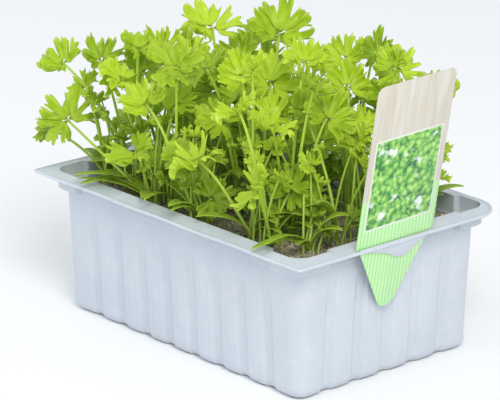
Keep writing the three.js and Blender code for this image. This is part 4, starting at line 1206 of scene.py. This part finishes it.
def rib(placed, face):
    """A raised rib under a lobe's middle column."""
    line = placed[:-2] - face * BLADE_THICKNESS
    return tube(line, np.linspace(*RIB_RADII, len(line)), RIB_SIDES, material=STALK, rise=RIB_LIGHT_SHARE)


def blade(leaf, detail=FULL):
    """A leaf's leaflets and their ribs, in place."""
    draw = np.random.default_rng(LOOK_SEED + leaf["number"])
    tone = draw.uniform(0, 1)
    patches = []
    for leaflet in leaf.get("leaflets") or leaflet_draws(leaf["number"]):
        grid, ribs, edge, middles = leaflet_grid(
            leaflet["turn"], leaflet["size"], leaflet["lift"], draw, detail)
        placed = in_frame(leaf["frame"], grid * leaf["width"] / 2)
        # Each point's height sets its painted shade.
        patches.append(shell(placed, BLADE_THICKNESS, material=LEAF, tone=tone, edge=edge, rib=ribs,
                             rise=shade_at(placed[:, :, 2])))
        if detail is FULL:
            patches += [rib(placed[:, column], leaf["frame"][:, 2]) for column in middles]
    return patches


# %% Seed leaves
SEED_STEPS, SEED_ACROSS = 26, 7
SEED_STALK, SEED_TIP, SEED_SHEET = 0.55, 0.12, 0.45  # half widths, and the blade's thickness
SEED_CUP, SEED_TONE, SEED_WIDEST = 0.25, 0.2, 1.4


def seed_leaf(leaf):
    """A narrow seed leaf: a stalk that widens into a lance-shaped blade with a sunk midrib."""
    share, across = np.linspace(0.02, 1, SEED_STEPS), np.linspace(-1, 1, SEED_ACROSS)
    line, side = along(leaf["path"], share), level_across(leaf["path"])
    half = SEED_STALK + (leaf["half"] - SEED_STALK) * np.sin(math.pi * share**SEED_WIDEST)
    half[-1] = SEED_TIP
    ahead = unit(np.gradient(line, axis=0))
    level = unit(side - ahead * (ahead @ side)[:, None])
    up = np.cross(ahead, level)
    up *= np.sign(up[:, 2].mean())
    cup = SEED_CUP * half[:, None] * np.abs(across) ** 1.5
    width = half[:, None] * across
    grid = line[:, None] + level[:, None] * width[..., None] + up[:, None] * cup[..., None]
    # The edge value places the painted rim highlight, and the height the painted shade.
    edge = np.broadcast_to(np.abs(across) ** 6, grid.shape[:2])
    ribs = np.broadcast_to(np.exp(-((across / 0.2) ** 2)), grid.shape[:2])
    return shell(grid, SEED_SHEET, material=LEAF, tone=SEED_TONE, edge=edge, rib=ribs,
                 rise=shade_at(grid[:, :, 2]))


# %% [markdown]
# Between the large leaves, young ones push up from the soil: thin stalks with small blades of one
# or three leaflets, and more seed leaves. They are too small for the CAD model's solids, so they
# are grown here by a seeded rule of their own, in the room under the large leaves. A few of the
# seed leaves lie over the rim.

# %% Young growth
YOUNG_LEAVES, YOUNG_SEED_LEAVES, YOUNG_SEED = 5, 3, 9000
YOUNG_NUMBER, YOUNG_NUMBERS = 1000, 10  # where young leaves' numbers start, and how many a plant has
YOUNG_FROM_CROWN, YOUNG_OUT, YOUNG_STOUT = (2, 8), (2, 15), 0.7
YOUNG_HEIGHT, YOUNG_WIDTH, YOUNG_SWING, YOUNG_TILT = (10, 50), (9, 16), (-60, 60), (10, 45)
SINGLE_SHARE, SINGLE_SIZE, SINGLE_LIFT = 0.4, 1.25, (0, 0.3)
SPROUT_OUT, SPROUT_SWING, SPROUT_HALF, SPROUT_HEIGHT = (14, 30), 0.3, (1.8, 3.6), (72, 96)
OVER_RIM_REACH, OVER_RIM_HEIGHT = 0.6, (79, 85)
WALL_ROOM = (86, 55)  # how far out young growth may stand below the rim
RIM_ROOM = (-98, -74), (88, 72)  # how far out a seed leaf that lies over the rim may end


def heading(angle):
    """The level direction at an angle."""
    return np.array([math.cos(angle), math.sin(angle)])


def young_leaf(crown, number, draw):
    """A small leaf on a thin stalk, near a plant's crown."""
    turn, lean = draw.uniform(0, 2 * math.pi, 2)
    start = crown + draw.uniform(*YOUNG_FROM_CROWN) * heading(turn)
    end = start + draw.uniform(*YOUNG_OUT) * heading(lean)
    start, end = np.clip([start, end], np.negative(WALL_ROOM), WALL_ROOM)
    tip = (*end, SOIL_Z + draw.uniform(*YOUNG_HEIGHT))
    face = (math.degrees(lean) + draw.uniform(*YOUNG_SWING), draw.uniform(*YOUNG_TILT))
    leaf = leaf_of(start, number, True, tip, draw.uniform(*YOUNG_WIDTH), face)
    if draw.random() < SINGLE_SHARE:
        leaf["leaflets"] = [{"turn": 0, "size": SINGLE_SIZE, "lift": draw.uniform(*SINGLE_LIFT)}]
    return leaf


def young_seed_leaf(crown, draw, outward):
    """A narrow leaf that arches out low over the soil, or over the rim where it reaches it."""
    turn = draw.uniform(0, 2 * math.pi)
    if outward:
        away = math.atan2(crown[1] / WALL_ROOM[1], crown[0] / WALL_ROOM[0])
        turn = away + SPROUT_SWING * (turn - math.pi)
    out = draw.uniform(*SPROUT_OUT) * heading(turn)
    end, heights = crown + out, SPROUT_HEIGHT
    if (np.abs(end) > WALL_ROOM).any():
        end, heights = np.clip(end + OVER_RIM_REACH * out, *RIM_ROOM), OVER_RIM_HEIGHT
    return seed_leaf_of(crown, (*end, draw.uniform(*heights)), draw.uniform(*SPROUT_HALF))


def young_growth(plant, number):
    """Patches of all the young growth round one plant."""
    draw = np.random.default_rng(YOUNG_SEED + number)
    crown, patches = np.array(plant["crown"]), []
    for k in range(YOUNG_LEAVES):
        leaf = young_leaf(crown, YOUNG_NUMBER + YOUNG_NUMBERS * number + k, draw)
        patches += [petiole(leaf, YOUNG_STOUT), *blade(leaf, YOUNG)]
    patches += [seed_leaf(young_seed_leaf(crown, draw, k == 0)) for k in range(YOUNG_SEED_LEAVES)]
    return patches


# %% [markdown]
# A fresh leaf is thin wet tissue under a waxy skin. It sends back yellow-green light, lets some
# through, and shines softly where it curls. A Principled shader gives the skin, and a mix with a
# Translucent one gives the glow of leaves lit from behind.

# %% Leaf and stalk
TISSUE_IOR = 1.4


def fresh_leaf():
    """Parsley blade: chlorophyll green painted darker lower down as shade, paler ribs, with rims and
    streaks painted paler as highlights, satin wax.
    """
    material, tree, shader, place = substance("fresh_parsley_leaf")
    tone, edge, rib_and_streaks, rise = [add(tree, "Attribute", output="Fac", attribute_name=name)
                                  for name in ("tone", "edge", "rib", "rise")]
    patches = add(tree, "TexNoise", {"Vector": place, "Scale": 1 / 5, "Detail": 3})
    half = add(tree, "Math", {0: patches, 1: 0.5}, operation="MULTIPLY")
    patchy = add(tree, "Math", {0: tone, 1: 0.7, 2: half}, operation="MULTIPLY_ADD")
    # A lit and a shaded copy of the leaf's green, mixed by height: lower leaves are painted in shade.
    lit_green = add(tree, "ValToRGB", {0: patchy},
                 stops=[(0.25, "#97BD26"), (0.5, "#BDDE2C"), (0.85, "#D5EE3C")])
    shaded_green = add(tree, "ValToRGB", {0: patchy}, stops=[(0.25, "#8EB530"), (0.85, "#AED23C")])
    lit = add(tree, "MapRange", {"Value": rise, "From Min": 0.15, "From Max": 0.65})
    body = add(tree, "Mix", {0: lit, FIRST: shaded_green, SECOND: lit_green}, **OF_COLOURS)
    # Rims painted paler, as the highlight that curled edges catch.
    rim = add(tree, "Math", {0: edge, 1: 0.45}, operation="MULTIPLY")
    rim_highlighted = add(tree, "Mix", {0: rim, FIRST: body, SECOND: "#E2F26A"}, **OF_COLOURS)
    # Ribs are paler; the streaks at the teeth are painted highlights.
    pale = add(tree, "Math", {0: rib_and_streaks, 1: 0.35}, operation="MULTIPLY")
    colour = add(tree, "Mix", {0: pale, FIRST: rim_highlighted, SECOND: "#E6F280"}, **OF_COLOURS)
    wax = add(tree, "TexNoise", {"Vector": place, "Scale": 1 / 2.5, "Detail": 3})
    sheen = add(tree, "MapRange", {
        "Value": wax, "From Min": 0.3, "From Max": 0.7, "To Min": 0.22, "To Max": 0.36})
    tissue = add(tree, "TexVoronoi", {"Vector": place, "Scale": 1 / 0.8})
    dents = add(tree, "TexNoise", {"Vector": place, "Scale": 1 / 2, "Detail": 3})
    fine = add(tree, "Math", {0: tissue, 1: dents}, operation="ADD")
    relief = add(tree, "Bump", {"Height": fine, "Distance": 0.12 * MM, "Strength": 0.6})
    fill(tree, shader, {"Base Color": colour, "Roughness": sheen, "Normal": relief, "IOR": TISSUE_IOR})
    through = add(tree, "BsdfTranslucent", {"Color": colour})
    both = add(tree, "MixShader", {0: 0.38, 1: shader.outputs[0], 2: through})
    fill(tree, next(n for n in tree.nodes if n.type == "OUTPUT_MATERIAL"), {"Surface": both})
    return material


def fresh_stalk():
    """Petiole: pale juicy green, painted duller and darker near the soil as the foliage's shade, smooth,
    with small dents.
    """
    material, tree, shader, place = substance("fresh_parsley_stalk")
    rise = add(tree, "Attribute", output="Fac", attribute_name="rise")
    # Painted shade: the stalk's green darkens and dulls towards the soil.
    colour = add(tree, "ValToRGB", {0: rise},
                 stops=[(0, "#A3BA55"), (0.3, "#A6C643"), (0.9, "#BAD64A")])
    patches = add(tree, "TexNoise", {"Vector": place, "Scale": 1 / 4, "Detail": 3})
    share = add(tree, "MapRange", {"Value": patches, "From Min": 0.4, "From Max": 0.8, "To Max": 0.3})
    patchy = add(tree, "Mix", {0: share, FIRST: colour, SECOND: "#CBDD72"}, **OF_COLOURS)
    dents = add(tree, "TexNoise", {"Vector": place, "Detail": 3, "Scale": 1})
    relief = add(tree, "Bump", {"Height": dents, "Distance": 0.08 * MM})
    fill(tree, shader, {
        "Base Color": patchy, "Normal": relief, "Roughness": 0.38, "IOR": TISSUE_IOR,
        "Subsurface Weight": 0.25, "Subsurface Scale": 1,
        "Subsurface Radius": (1.2 * MM, 1.6 * MM, 0.5 * MM)})
    return material


leaf_skin, stalk_skin = fresh_leaf(), fresh_stalk()
print("nodes in leaf and stalk:", [len(m.node_tree.nodes) for m in (leaf_skin, stalk_skin)])

# %% Plants
core_boxes, plant_faces = [], 0
for number, plant in enumerate(PLANTS, 1):
    core = [petiole(leaf) for leaf in plant["leaves"]]
    core += [p for leaf in plant["leaves"] for p in blade(leaf)]
    core += [seed_leaf(leaf) for leaf in plant["seed_leaves"]]
    points = np.concatenate([p["points"] for p in core])
    core_boxes.append((points.min(0), points.max(0)))
    patches = core + young_growth(plant, number)
    made = piece(f"curled_parsley_{number}", patches, [leaf_skin, stalk_skin])
    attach(made, "root")
    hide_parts(f"parsley_plant_{number}")
    plant_faces += len(made.data.polygons)
print("plant faces:", plant_faces)

# %% [markdown]
# A new mesh must stand where its CAD node stands. The furthest that any plant's box, without its
# young growth, lies from its node's box is printed.

# %% Check against the frame
gaps = []
for number, core_box in enumerate(core_boxes, 1):
    node_box = np.array(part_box(f"parsley_plant_{number}")) / MM
    gaps.append(np.abs(np.array(core_box) - node_box).max())
print("furthest that a plant's box lies from its node's, in mm:", round(max(gaps), 2))
